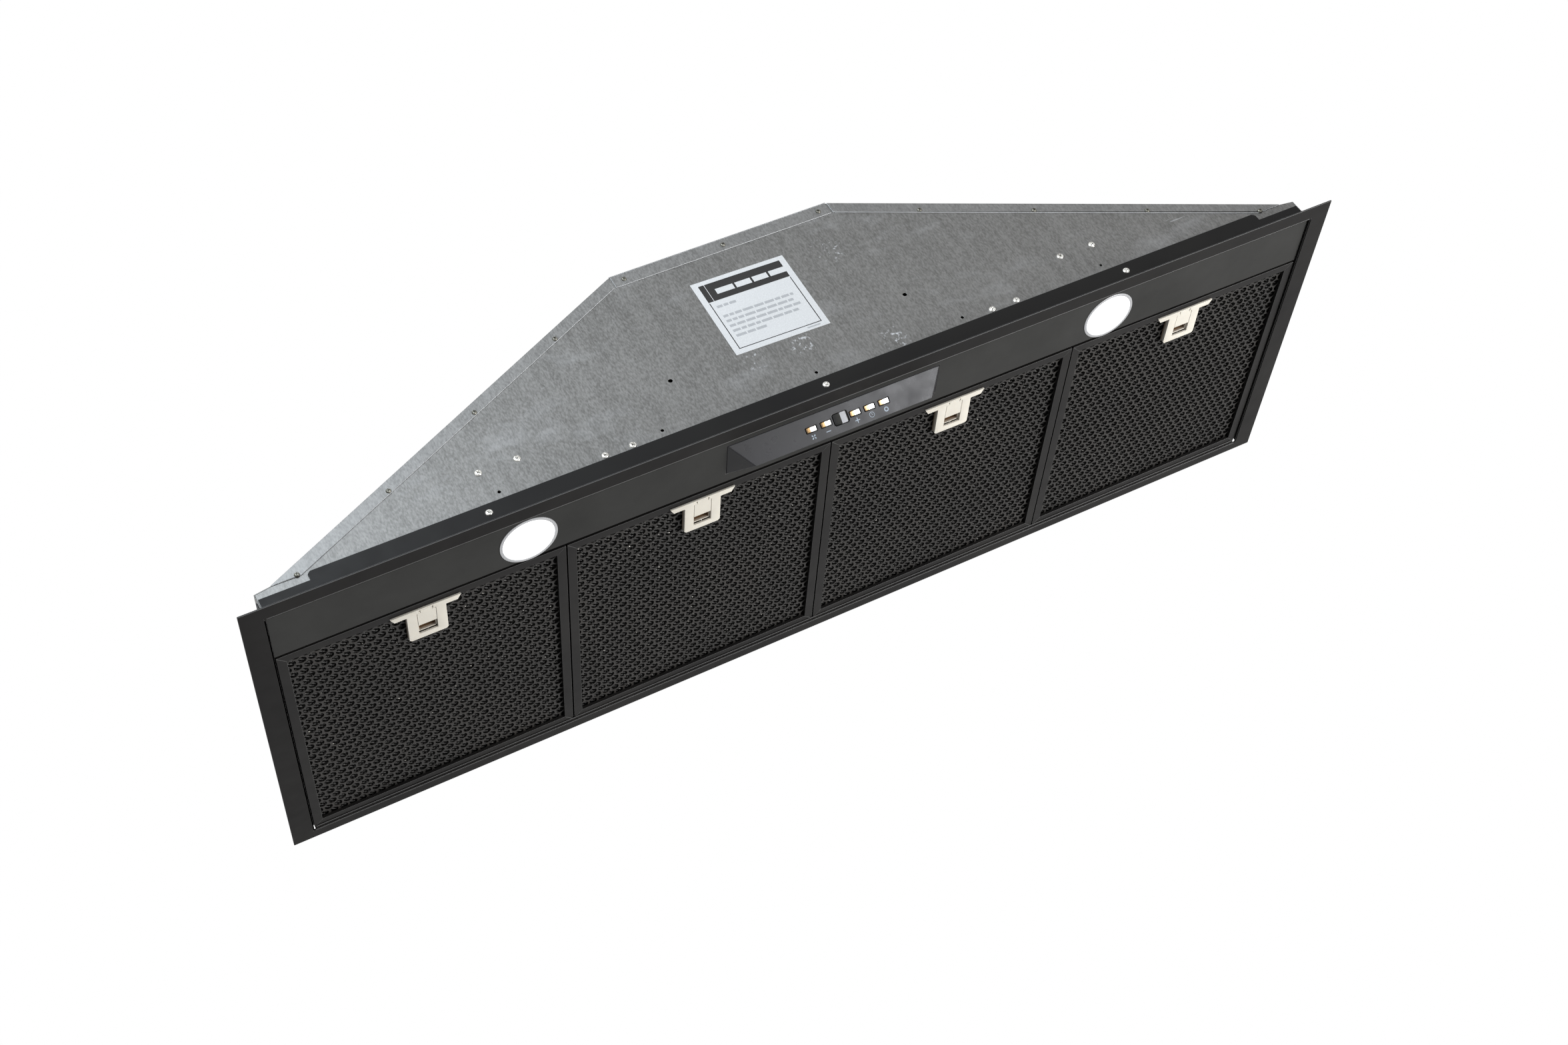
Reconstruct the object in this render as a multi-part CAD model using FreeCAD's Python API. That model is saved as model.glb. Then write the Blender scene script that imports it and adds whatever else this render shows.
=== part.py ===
import FreeCAD, Part
import math
import os

# Range hood insert that hangs in a cabinet cut-out by its face plate flange.
# Millimetres. X runs along the hood, Y towards the wall behind it, Z up.
# The origin is the middle of the flange's upper face, where the cabinet rests.

# Face plate and the black chassis walls that rise from its opening
PLATE_LENGTH = 1160.0
PLATE_DEPTH = 380.0
PLATE_T = 1.5
SIDE_LIP = 21.5
FRONT_LIP = 16.0
BACK_LIP = 11.5
WALL_T = 1.0
WALL_RISE = 30.5
WALL_END_RISE = 21.0
WALL_END_LENGTH = 49.5
WALL_CORNER_R = 3.0
WALL_FOLD_GAP = 0.3
CORNER_RELIEF = 2.5
CORNER_HOLE_R = 0.8
LEDGE_DEPTH = 3.3
LEDGE_T = 1.0
LEDGE_RISE = 0.5
WELD_GAP = 0.05
SIDE_HOLE_R = 2.6
SIDE_HOLE_SPACING = 200.0
SIDE_HOLE_RISE = 15.0

# Galvanised housing above the chassis
SHEET_T = 0.8
HOUSING_BOTTOM = 4.0
HOUSING_HEIGHT = 233.5
HOUSING_TOP_LENGTH = 242.0
SHOULDER_INSET = 15.5
SHOULDER_RISE = 29.5
SHOULDER_END_DROP = 2.5
SIDE_GAP = 0.2
SLOPE_FLANGE = 12.0
TOP_FLANGE = 14.0
TOP_TAB = 17.0
SPARE_HOLE_R = 2.2
SPARE_HOLE_SPACING = 256.0
SPARE_HOLE_RISE = 89.5
DRAIN_HOLE_R = 1.6
DRAIN_HOLE_RISE = 38.5
DRAIN_HOLE_PITCH = 162.5

# Screws
FLANGE_SCREW_HEAD_R = 2.6
FLANGE_SCREW_R = 1.4
PAN_HEAD_R = 3.7
PAN_SCREW_R = 2.0
SCREW_HEAD_H = 1.6
SCREW_LENGTH = 5.0
SCREW_GAP = 0.1
SLOPE_SCREWS = 4
SLOPE_SCREW_INSET = 9.0
SLOPE_SCREW_LEAD = 0.19
TOP_SCREW_INSET = 12.5
STRIP_SCREW_PITCH = 343.0
STRIP_SCREW_RISE = 20.0
BOX_SCREW_X = (295.0, 333.0)
BOX_SCREW_RISE = 66.5
TAB_SCREW_X = (194.5, 222.5)
TAB_SCREW_RISE = 34.5

# Light band along the front of the opening
BAND_T = 1.0
BAND_RISE = 1.0
BAND_DEPTH = 59.5
BAND_END_GAP = 0.6
BAND_FRONT_GAP = 0.2
BAND_FLANGE = 11.0
BAND_CATCH_FLANGE = 15.0
BAND_TAB_WIDTH = 40.0
BAND_TAB_RISE = 42.0

# Lamps
LAMP_X = 315.0
LAMP_SETBACK = 32.0
LAMP_BEZEL_R = 28.5
LAMP_BEZEL_T = 0.8
LAMP_BODY_R = 26.5
LAMP_BODY_H = 13.0
LAMP_LENS_R = 25.5
LAMP_LENS_T = 2.0
LAMP_HOLE_GAP = 0.5
LAMP_LENS_GAP = 0.2

# Control wedge: a hipped housing that hangs under the band
WEDGE_HALF = 114.5
WEDGE_SETBACK = 8.5
WEDGE_DEPTH = 39.5
WEDGE_RIDGE_HALF = 95.5
WEDGE_RIDGE_SETBACK = 16.0
WEDGE_RIDGE_Z = -20.0
WEDGE_WALL = 2.0
WEDGE_LIP = 5.0
WEDGE_LIP_T = 1.2
WEDGE_GAP = 0.3
BUTTON_X = (-31.4, -15.7, 15.7, 31.4, 47.1)
BUTTON_NAMES = ("fan", "minus", "plus", "timer", "lamp")
BUTTON_LENGTH = 11.5
BUTTON_HEIGHT = 5.3
BUTTON_GAP = 0.2
BUTTON_DEPTH = 4.2
BUTTON_LIP = 0.9
BUTTON_LIP_T = 0.8
BUTTON_INSET = 0.3
BUTTON_TRAVEL = 1.0
CONTROL_ROW = 13.0
WINDOW_X = 0.2
WINDOW_LENGTH = 15.6
WINDOW_HEIGHT = 11.2
WINDOW_CORNER_R = 2.0
WINDOW_T = 1.4
WINDOW_LIP = 0.9
BOARD_DEPTH = 9.0
BOARD_T = 1.6
BOARD_LENGTH = 130.0
BOARD_HEIGHT = 15.0
BOARD_POST_R = 2.5
BOARD_POST_INSET = 5.0
SWITCH_SIZE = 6.0
SWITCH_H = 2.4
PLUNGER_R = 1.6

# Grease filters: four alike, held at the back by the ledge and at the front by a latch
FILTER_COUNT = 4
FILTER_END_GAP = 0.5
FILTER_GAP = 1.5
FILTER_FRONT_GAP = 2.5
FILTER_BACK_GAP = 1.5
FILTER_LEDGE_GAP = 0.1
FILTER_T = 10.0
FILTER_RIM = 9.0
FILTER_SHEET = 0.8
FILTER_RECESS = 3.4
FILTER_CORNER_R = 4.0
MESH_GAP = 0.2
MESH_T = 1.5

# Filter latch
LATCH_OFFSET = 6.1
LATCH_WIDTH = 38.0
LATCH_LENGTH = 42.5
LATCH_FACE_T = 2.0
LATCH_BAR_LENGTH = 68.0
LATCH_BAR_DEPTH = 6.2
LATCH_BAR_TAPER = 3.5
LATCH_BOX_HALF = 11.5
LATCH_BOX_RISE = 7.9
LATCH_WALL = 1.2
LATCH_CORNER = 2.0
SLIDER_HALF = 8.9
SLIDER_GAP = 0.3
SLIDER_FACE_Y = 5.5
SLIDER_POCKET_Y = 23.4
SLIDER_BACK_Y = 34.5
SLIDER_WALL = 1.2
SLIDER_TRAVEL = 4.0
SLIDER_TAB_HALF = 5.6
SLIDER_TAB = 3.5
WINDOW_BACK_Y = 35.5
TONGUE_HALF = 6.0
TONGUE_LOW = 4.4
TONGUE_T = 2.0
TONGUE_REACH = 2.5
TONGUE_GAP = 0.4
SPRING_R = 2.1
SPRING_WIRE = 0.5
SPRING_TURNS = 5

# Blower: a double-inlet centrifugal fan under the duct outlet
FAN_Y = -20.0
FAN_DROP = 115.5
FAN_WIDTH = 130.0
FAN_WALL = 1.0
SCROLL_R_START = 82.0
SCROLL_R_END = 110.0
SCROLL_START_DEG = 120.0
INLET_R = 58.0
INLET_LIP = 5.0
WHEEL_R = 75.0
WHEEL_EYE_R = 62.0
WHEEL_WIDTH = 110.0
WHEEL_DISC_T = 1.5
WHEEL_RING_T = 2.0
WHEEL_BLADES = 30
BLADE_T = 1.0
BLADE_SWEEP_DEG = 7.0
HUB_R = 12.0
HUB_LENGTH = 16.0
SHAFT_R = 4.0
SHAFT_GAP = 0.05
SHAFT_LENGTH = 70.0
MOTOR_R = 42.0
MOTOR_LENGTH = 52.0
MOTOR_FACE_X = -8.0
MOTOR_BOSS_R = 18.0
BRACKET_T = 2.5
BRACKET_WIDTH = 16.0
BRACKET_SPAN = 146.0
NECK_FLANGE = 12.0
NECK_SCREW_INSET = 15.0

# Duct outlet with its two-leaf damper
DUCT_R = 74.5
DUCT_WALL = 1.0
DUCT_HEIGHT = 42.0
DUCT_FLANGE_R = 88.0
DUCT_FLANGE_T = 1.0
DUCT_SCREW_R = 82.0
DAMPER_RISE = 14.0
DAMPER_PIN_R = 2.0
DAMPER_PIN_GAP = 0.08
DAMPER_T = 0.8
DAMPER_GAP = 1.6
DAMPER_KNUCKLE_R = 3.2
DAMPER_KNUCKLES = 6
DAMPER_KNUCKLE_LENGTH = 14.0
DAMPER_KNUCKLE_SPACE = 5.0
DAMPER_STOP = 4.0
DAMPER_STOP_T = 1.2

# Electrics
BOX_LENGTH = 84.0
BOX_HEIGHT = 52.0
BOX_DEPTH = 46.0
BOX_WALL = 2.0
BOX_LID_T = 2.0
BOX_LID_GAP = 0.2
BOX_WIRE_HOLE_R = 5.0
TERMINALS = 3
TERMINAL_PITCH = 12.0
TERMINAL_SIZE = 15.0
TERMINAL_SCREW_R = 2.5
TERMINAL_SCREW_DEPTH = 6.0
TERMINAL_WIRE_R = 1.8
TERMINAL_SLOT = 1.2
TERMINAL_SLOT_DEPTH = 6.0
GLAND_X = 88.0
GLAND_SETBACK = 48.0
GLAND_BORE_R = 4.5
GLAND_THREAD_R = 8.0
GLAND_HEX = 22.0
GLAND_NUT_T = 5.0
GLAND_NECK = 1.5
GLAND_DOME_NUT_T = 8.0
GLAND_RISE = 20.0
CAPACITOR_R = 15.0
CAPACITOR_LENGTH = 60.0
CAPACITOR_GAP = 2.0
CAPACITOR_CLIP_HALF = 7.0
CAPACITOR_FOOT = 8.0
CAPACITOR_FOOT_T = 4.0
CAPACITOR_X = 230.0
CAPACITOR_Z = 60.0
DRIVER_LENGTH = 100.0
DRIVER_HEIGHT = 36.0
DRIVER_DEPTH = 24.0
DRIVER_BASE_T = 6.0
DRIVER_STEP_X = 4.0
DRIVER_STEP_Z = 2.0
DRIVER_CORNER_R = 2.0

# Sizes that follow from the ones above
CHASSIS_HALF = PLATE_LENGTH / 2 - SIDE_LIP
CHASSIS_FRONT = -PLATE_DEPTH / 2 + FRONT_LIP
CHASSIS_BACK = PLATE_DEPTH / 2 - BACK_LIP
INNER_HALF = CHASSIS_HALF - WALL_T
INNER_FRONT = CHASSIS_FRONT + WALL_T
INNER_BACK = CHASSIS_BACK - WALL_T
PANEL_FRONT = INNER_FRONT + SHEET_T
PANEL_BACK = INNER_BACK - SHEET_T
HOUSING_HALF = INNER_HALF - SIDE_GAP - SHEET_T
SHOULDER_HALF = HOUSING_HALF - SHOULDER_INSET
TOP_HALF = HOUSING_TOP_LENGTH / 2
TOP_UNDER = HOUSING_HEIGHT + SHEET_T
TOP_FACE = TOP_UNDER + SHEET_T
FAN_Z = HOUSING_HEIGHT - FAN_DROP
GLAND_Y = INNER_FRONT + GLAND_SETBACK
BAND_TOP = BAND_RISE + BAND_T
BAND_BACK = INNER_FRONT + BAND_DEPTH
LAMP_Y = INNER_FRONT + LAMP_SETBACK
WEDGE_FRONT = INNER_FRONT + WEDGE_SETBACK
WEDGE_BACK = WEDGE_FRONT + WEDGE_DEPTH
WEDGE_RIDGE_Y = WEDGE_FRONT + WEDGE_RIDGE_SETBACK
FILTER_FRONT = BAND_BACK + FILTER_FRONT_GAP
FILTER_FACE = LEDGE_RISE + FILTER_LEDGE_GAP
FILTER_BACK = INNER_BACK - FILTER_BACK_GAP
FILTER_PITCH = 2 * (INNER_HALF - FILTER_END_GAP) / FILTER_COUNT
FILTER_HALF = (FILTER_PITCH - FILTER_GAP) / 2
FILTER_TOP = FILTER_FACE + FILTER_T
MESH_FACE = FILTER_FACE + FILTER_RECESS
LATCH_FRONT = FILTER_FRONT + LATCH_OFFSET
LATCH_FACE = FILTER_FACE - LATCH_FACE_T
LATCH_TOP = FILTER_FACE + LATCH_BOX_RISE
TONGUE_Z = FILTER_FACE + TONGUE_LOW
NECK_FRONT = FAN_Y + SCROLL_R_START * math.cos(math.radians(SCROLL_START_DEG))
NECK_BACK = FAN_Y + SCROLL_R_END
DUCT_Y = (NECK_FRONT + NECK_BACK) / 2
DAMPER_Z = TOP_FACE + DAMPER_RISE


def point(x, y, z):
    return FreeCAD.Vector(x, y, z)


def box(x0, x1, y0, y1, z0, z1):
    return Part.makeBox(x1 - x0, y1 - y0, z1 - z0, point(x0, y0, z0))


def cylinder(radius, length, base, direction):
    return Part.makeCylinder(radius, length, point(*base), point(*direction))


def ring(outer, inner, length, base, direction):
    return cylinder(outer, length, base, direction).cut(cylinder(inner, length, base, direction))


def prism(corners, direction):
    return Part.Face(Part.makePolygon(corners + corners[:1])).extrude(direction)


def prism_y(outline, y0, y1):
    return prism([point(x, y0, z) for x, z in outline], point(0, y1 - y0, 0))


def prism_x(outline, x0, x1):
    return prism([point(x0, y, z) for y, z in outline], point(x1 - x0, 0, 0))


def prism_z(outline, z0, z1):
    return prism([point(x, y, z0) for x, y in outline], point(0, 0, z1 - z0))


def fuse(*shapes):
    return shapes[0].multiFuse(list(shapes[1:])).removeSplitter()


def mirror_x(shape):
    return shape.mirror(point(0, 0, 0), point(1, 0, 0))


def save(node, *solids):
    shape = solids[0] if len(solids) == 1 else Part.makeCompound(list(solids))
    if not shape.isValid():
        raise ValueError(node + " is not a valid shape")
    wanted = len(solids)
    if len(shape.Solids) != wanted:
        raise ValueError(node + " has %d solids" % len(shape.Solids))
    shape.exportStep("parts/" + node + ".step")


def screw(x, y, z, direction, head_r, shank_r, length=SCREW_LENGTH):
    """A domed screw: its head stands off the seat at (x, y, z), its shank runs in."""
    dx, dy, dz = direction
    tip = (x - dx * length, y - dy * length, z - dz * length)
    shank = cylinder(shank_r, length, tip, direction)
    head = cylinder(head_r, SCREW_HEAD_H, (x, y, z), direction)
    crown = head.Edges[0] if head.Edges[0].CenterOfMass.sub(point(*tip)).Length > length else head.Edges[2]
    head = head.makeFillet(SCREW_HEAD_H * 0.7, [crown])
    return fuse(head, shank)


# ---------------------------------------------------------------- chassis

def wall_outline():
    """Front and back wall, low at both ends and higher with rounded corners between."""
    low = WALL_END_RISE
    high = WALL_RISE
    step = CHASSIS_HALF - WALL_END_LENGTH
    end = CHASSIS_HALF - CORNER_RELIEF
    return [(-CHASSIS_HALF, -PLATE_T), (-CHASSIS_HALF, 0), (-end, 0), (-end, low), (-step, low),
            (-step, high - WALL_CORNER_R), (-step + WALL_CORNER_R, high), (step - WALL_CORNER_R, high),
            (step, high - WALL_CORNER_R), (step, low), (end, low), (end, 0), (CHASSIS_HALF, 0),
            (CHASSIS_HALF, -PLATE_T)]


def strip_screw_places():
    return [(n * STRIP_SCREW_PITCH, STRIP_SCREW_RISE) for n in (-1, 0, 1)]


def side_fixing_holes():
    holes = []
    for y in (-SIDE_HOLE_SPACING / 2, SIDE_HOLE_SPACING / 2):
        holes.append(cylinder(SIDE_HOLE_R, PLATE_LENGTH, (-PLATE_LENGTH / 2, y, SIDE_HOLE_RISE), (1, 0, 0)))
    return holes


def chassis_tray():
    """Face plate, the four wall strips that stand in its opening and the rear ledge, spot welded."""
    plate = box(-PLATE_LENGTH / 2, PLATE_LENGTH / 2, -PLATE_DEPTH / 2, PLATE_DEPTH / 2, -PLATE_T, 0)
    plate = plate.cut(box(-CHASSIS_HALF - WELD_GAP, CHASSIS_HALF + WELD_GAP, CHASSIS_FRONT - WELD_GAP,
                          CHASSIS_BACK + WELD_GAP, -PLATE_T, 0))
    front = prism_y(wall_outline(), CHASSIS_FRONT, INNER_FRONT)
    back = prism_y(wall_outline(), INNER_BACK, CHASSIS_BACK)
    foot = box(INNER_HALF, CHASSIS_HALF, INNER_FRONT + WELD_GAP, INNER_BACK - WELD_GAP, -PLATE_T, 0)
    rise = box(INNER_HALF, CHASSIS_HALF, INNER_FRONT + CORNER_RELIEF, INNER_BACK - CORNER_RELIEF, 0,
               WALL_END_RISE)
    side = fuse(foot, rise)
    ledge_half = INNER_HALF - CORNER_RELIEF
    ledge = box(-ledge_half, ledge_half, INNER_BACK - LEDGE_DEPTH, INNER_BACK - WELD_GAP,
                LEDGE_RISE - LEDGE_T, LEDGE_RISE)
    cuts = side_fixing_holes()
    for x in (-INNER_HALF, INNER_HALF):
        for y in (INNER_FRONT, INNER_BACK):
            cuts.append(cylinder(CORNER_HOLE_R, PLATE_T, (x, y, -PLATE_T), (0, 0, 1)))
    for x, z in strip_screw_places():
        cuts.append(cylinder(PAN_SCREW_R + SCREW_GAP, PLATE_DEPTH, (x, -PLATE_DEPTH / 2, z), (0, 1, 0)))
    return [plate] + [strip.cut(cuts) for strip in (front, back, side, mirror_x(side), ledge)]


# ---------------------------------------------------------------- galvanised housing

def slope_drop():
    """How far the slope falls for each millimetre it runs outwards."""
    return (HOUSING_HEIGHT - SHOULDER_RISE) / (SHOULDER_HALF - TOP_HALF)


def slope_angle():
    return math.atan(slope_drop())


def slope_screw_places():
    """Screw centres along the sloped flange, inset square to its outer edge."""
    angle = slope_angle()
    length = (SHOULDER_HALF - TOP_HALF) / math.cos(angle)
    places = []
    for n in range(SLOPE_SCREWS):
        along = length * (n + SLOPE_SCREW_LEAD) / SLOPE_SCREWS
        x = SHOULDER_HALF - along * math.cos(angle) - SLOPE_SCREW_INSET * math.sin(angle)
        z = SHOULDER_RISE + along * math.sin(angle) - SLOPE_SCREW_INSET * math.cos(angle)
        places.append((x, z))
    return places


def top_screw_places():
    pitch = TOP_HALF - TOP_SCREW_INSET
    return [(n * pitch, HOUSING_HEIGHT - TOP_FLANGE / 2) for n in (-1, 0, 1)]


def flange_screw_places():
    places = top_screw_places()
    for x, z in slope_screw_places():
        places += [(x, z), (-x, z)]
    return places


def housing_outline():
    half = [(HOUSING_HALF, HOUSING_BOTTOM), (HOUSING_HALF, SHOULDER_RISE - SHOULDER_END_DROP),
            (SHOULDER_HALF, SHOULDER_RISE), (TOP_HALF, HOUSING_HEIGHT)]
    return half + [(-x, z) for x, z in reversed(half)]


def end_panel(y0, y1):
    """Front or back panel of the housing with its flange and chassis screw holes."""
    panel = prism_y(housing_outline(), y0, y1)
    reach = (y0 - 1, y1 - y0 + 2)
    holes = []
    for x, z in flange_screw_places():
        holes.append(cylinder(FLANGE_SCREW_R + SCREW_GAP, reach[1], (x, reach[0], z), (0, 1, 0)))
    for x, z in strip_screw_places():
        holes.append(cylinder(PAN_SCREW_R + SCREW_GAP, reach[1], (x, reach[0], z), (0, 1, 0)))
    return panel.cut(holes)


def bracket_screw_places():
    places = [(x, BOX_SCREW_RISE) for x in BOX_SCREW_X] + [(x, TAB_SCREW_RISE) for x in TAB_SCREW_X]
    return places + [(-x, z) for x, z in places]


def front_panel():
    panel = end_panel(INNER_FRONT, PANEL_FRONT)
    holes = []
    for x, z in bracket_screw_places():
        holes.append(cylinder(PAN_SCREW_R + SCREW_GAP, 2, (x, INNER_FRONT - 1, z), (0, 1, 0)))
    for n in range(-2, 3):
        place = (n * DRAIN_HOLE_PITCH, INNER_FRONT - 1, DRAIN_HOLE_RISE)
        holes.append(cylinder(DRAIN_HOLE_R, 2, place, (0, 1, 0)))
    for x in (-SPARE_HOLE_SPACING / 2, SPARE_HOLE_SPACING / 2):
        holes.append(cylinder(SPARE_HOLE_R, 2, (x, INNER_FRONT - 1, SPARE_HOLE_RISE), (0, 1, 0)))
    return panel.cut(holes)


def slope_flange(y0, y1):
    """Flange folded from the slope over an end panel's outer face, clear of the wall's high part."""
    down = SLOPE_FLANGE / math.cos(slope_angle())
    inner_end = SHOULDER_HALF - down / slope_drop()
    outline = [(SHOULDER_HALF, SHOULDER_RISE), (TOP_HALF + 1.0, HOUSING_HEIGHT - slope_drop()),
               (TOP_HALF + 1.0, HOUSING_HEIGHT - slope_drop() - down), (inner_end, SHOULDER_RISE)]
    flange = prism_y(outline, y0, y1)
    high_wall = CHASSIS_HALF - WALL_END_LENGTH + WALL_FOLD_GAP
    cuts = [box(-high_wall, high_wall, y0 - 1, y1 + 1, 0, WALL_RISE + WALL_FOLD_GAP)]
    for x, z in slope_screw_places():
        cuts.append(cylinder(FLANGE_SCREW_R + SCREW_GAP, y1 - y0 + 2, (x, y0 - 1, z), (0, 1, 0)))
    return flange.cut(cuts)


def side_panel():
    """Right side: an upright end, a shoulder, the long slope and a tab under the top."""
    rise = SHEET_T * math.tan(slope_angle() / 2)
    lift = SHEET_T / math.cos(slope_angle())
    inner = [(HOUSING_HALF, HOUSING_BOTTOM), (HOUSING_HALF, SHOULDER_RISE - SHOULDER_END_DROP),
             (SHOULDER_HALF, SHOULDER_RISE), (TOP_HALF, HOUSING_HEIGHT), (TOP_HALF - TOP_TAB, HOUSING_HEIGHT)]
    outer = [(TOP_HALF - TOP_TAB, TOP_UNDER), (TOP_HALF + rise, TOP_UNDER),
             (SHOULDER_HALF + rise, SHOULDER_RISE + lift - rise * slope_drop()),
             (HOUSING_HALF + SHEET_T, SHOULDER_RISE - SHOULDER_END_DROP + SHEET_T),
             (HOUSING_HALF + SHEET_T, HOUSING_BOTTOM)]
    web = prism_y(inner + outer, INNER_FRONT, INNER_BACK).cut(side_fixing_holes())
    fold = [(SHOULDER_HALF, SHOULDER_RISE), (TOP_HALF + 1.0, HOUSING_HEIGHT - slope_drop()),
            (TOP_HALF + 1.0, HOUSING_HEIGHT - slope_drop() + lift),
            (SHOULDER_HALF, SHOULDER_RISE + lift)]
    front_y = (INNER_FRONT - SHEET_T, INNER_FRONT)
    back_y = (INNER_BACK, INNER_BACK + SHEET_T)
    return fuse(web, slope_flange(*front_y), prism_y(fold, *front_y),
                slope_flange(*back_y), prism_y(fold, *back_y))


def outlet_screw_places():
    x = FAN_WIDTH / 2 - NECK_SCREW_INSET
    rows = (NECK_FRONT - NECK_FLANGE / 2, NECK_BACK + NECK_FLANGE / 2)
    return [(sx * x, y) for sx in (-1, 1) for y in rows]


def duct_screw_places():
    reach = DUCT_SCREW_R * math.sqrt(0.5)
    return [(sx * reach, DUCT_Y + sy * reach) for sx in (-1, 1) for sy in (-1, 1)]


def top_panel():
    """Flat top sheet with the duct and cable holes, and the two edge strips welded under it."""
    top = box(-TOP_HALF, TOP_HALF, INNER_FRONT - SHEET_T, INNER_BACK + SHEET_T, TOP_UNDER, TOP_FACE)
    strip_half = TOP_HALF - 1.0
    low = HOUSING_HEIGHT - TOP_FLANGE
    front = box(-strip_half, strip_half, INNER_FRONT - SHEET_T, INNER_FRONT, low, TOP_UNDER - WELD_GAP)
    back = box(-strip_half, strip_half, INNER_BACK, INNER_BACK + SHEET_T, low, TOP_UNDER - WELD_GAP)
    holes = [cylinder(DUCT_R - DUCT_WALL, 4, (0, DUCT_Y, TOP_UNDER - 1), (0, 0, 1)),
             cylinder(GLAND_THREAD_R + SCREW_GAP, 4, (GLAND_X, GLAND_Y, TOP_UNDER - 1), (0, 0, 1))]
    for x, y in outlet_screw_places() + duct_screw_places():
        holes.append(cylinder(PAN_SCREW_R + SCREW_GAP, 4, (x, y, TOP_UNDER - 1), (0, 0, 1)))
    for x, z in top_screw_places():
        holes.append(cylinder(FLANGE_SCREW_R + SCREW_GAP, PLATE_DEPTH, (x, -PLATE_DEPTH / 2, z), (0, 1, 0)))
    return [sheet.cut(holes) for sheet in (top, front, back)]


def flange_screws():
    screws = []
    for x, z in flange_screw_places():
        screws.append(screw(x, INNER_FRONT - SHEET_T, z, (0, -1, 0), FLANGE_SCREW_HEAD_R, FLANGE_SCREW_R))
        screws.append(screw(x, INNER_BACK + SHEET_T, z, (0, 1, 0), FLANGE_SCREW_HEAD_R, FLANGE_SCREW_R))
    return screws


def chassis_screws():
    screws = []
    for x, z in strip_screw_places():
        screws.append(screw(x, CHASSIS_FRONT, z, (0, -1, 0), PAN_HEAD_R, PAN_SCREW_R))
        screws.append(screw(x, CHASSIS_BACK, z, (0, 1, 0), PAN_HEAD_R, PAN_SCREW_R))
    return screws


def bracket_screws():
    return [screw(x, INNER_FRONT, z, (0, -1, 0), PAN_HEAD_R, PAN_SCREW_R, SCREW_LENGTH - 1.2)
            for x, z in bracket_screw_places()]


# ---------------------------------------------------------------- light band

def filter_centres():
    first = -FILTER_PITCH * (FILTER_COUNT - 1) / 2
    return [first + n * FILTER_PITCH for n in range(FILTER_COUNT)]


def light_band():
    half = INNER_HALF - BAND_END_GAP
    sheet = box(-half, half, INNER_FRONT + BAND_FRONT_GAP, BAND_BACK, BAND_RISE, BAND_TOP)
    fold = HOUSING_HALF - BAND_END_GAP
    front = box(-fold, fold, PANEL_FRONT, PANEL_FRONT + BAND_T, BAND_TOP, BAND_RISE + BAND_FLANGE)
    catch = box(-fold, fold, BAND_BACK - BAND_T, BAND_BACK, BAND_TOP, BAND_RISE + BAND_CATCH_FLANGE)
    pieces = [sheet, front, catch]
    tab_x = sum(TAB_SCREW_X) / 2
    for x in (-tab_x, tab_x):
        pieces.append(box(x - BAND_TAB_WIDTH / 2, x + BAND_TAB_WIDTH / 2, PANEL_FRONT, PANEL_FRONT + BAND_T,
                          BAND_TOP, BAND_TAB_RISE))
    holes = [box(-WEDGE_HALF - WEDGE_GAP, WEDGE_HALF + WEDGE_GAP, WEDGE_FRONT - WEDGE_GAP,
                 WEDGE_BACK + WEDGE_GAP, BAND_RISE, BAND_TOP)]
    for x in (-LAMP_X, LAMP_X):
        holes.append(cylinder(LAMP_BODY_R + LAMP_HOLE_GAP, BAND_T, (x, LAMP_Y, BAND_RISE), (0, 0, 1)))
    for x in TAB_SCREW_X + tuple(-x for x in TAB_SCREW_X):
        holes.append(cylinder(PAN_SCREW_R + SCREW_GAP, 3, (x, PANEL_FRONT - 1, TAB_SCREW_RISE), (0, 1, 0)))
    slot_half = TONGUE_HALF + TONGUE_GAP
    for x in filter_centres():
        holes.append(box(x - slot_half, x + slot_half, BAND_BACK - BAND_T, BAND_BACK,
                         TONGUE_Z - TONGUE_GAP, TONGUE_Z + TONGUE_T + TONGUE_GAP))
    return fuse(*pieces).cut(holes)


def lamp_body(x):
    """Bezel and can of a recessed lamp, open below for its lens."""
    low = BAND_RISE - LAMP_BEZEL_T
    bezel = cylinder(LAMP_BEZEL_R, LAMP_BEZEL_T, (x, LAMP_Y, low), (0, 0, 1))
    can = cylinder(LAMP_BODY_R, LAMP_BODY_H, (x, LAMP_Y, BAND_RISE), (0, 0, 1))
    seat = cylinder(LAMP_LENS_R + LAMP_LENS_GAP, LAMP_LENS_T, (x, LAMP_Y, low), (0, 0, 1))
    hollow = cylinder(LAMP_LENS_R - 3.0, LAMP_BODY_H - 3.0, (x, LAMP_Y, low), (0, 0, 1))
    return fuse(bezel, can).cut([seat, hollow])


def lamp_lens(x):
    return cylinder(LAMP_LENS_R, LAMP_LENS_T, (x, LAMP_Y, BAND_RISE - LAMP_BEZEL_T), (0, 0, 1))


# ---------------------------------------------------------------- control wedge

def meet(a, b):
    """Crossing of two lines in the YZ plane, each given by a point and a direction."""
    (ay, az), (ady, adz) = a
    (by, bz), (bdy, bdz) = b
    t = ((by - ay) * bdz - (bz - az) * bdy) / (ady * bdz - adz * bdy)
    return ay + t * ady, az + t * adz


def unit(y, z):
    length = math.hypot(y, z)
    return y / length, z / length


FACE_ALONG = unit(WEDGE_RIDGE_Y - WEDGE_FRONT, WEDGE_RIDGE_Z - BAND_RISE)
FACE_IN = (-FACE_ALONG[1], FACE_ALONG[0])
BACK_ALONG = unit(WEDGE_BACK - WEDGE_RIDGE_Y, BAND_RISE - WEDGE_RIDGE_Z)
BACK_IN = (-BACK_ALONG[1], BACK_ALONG[0])


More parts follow.
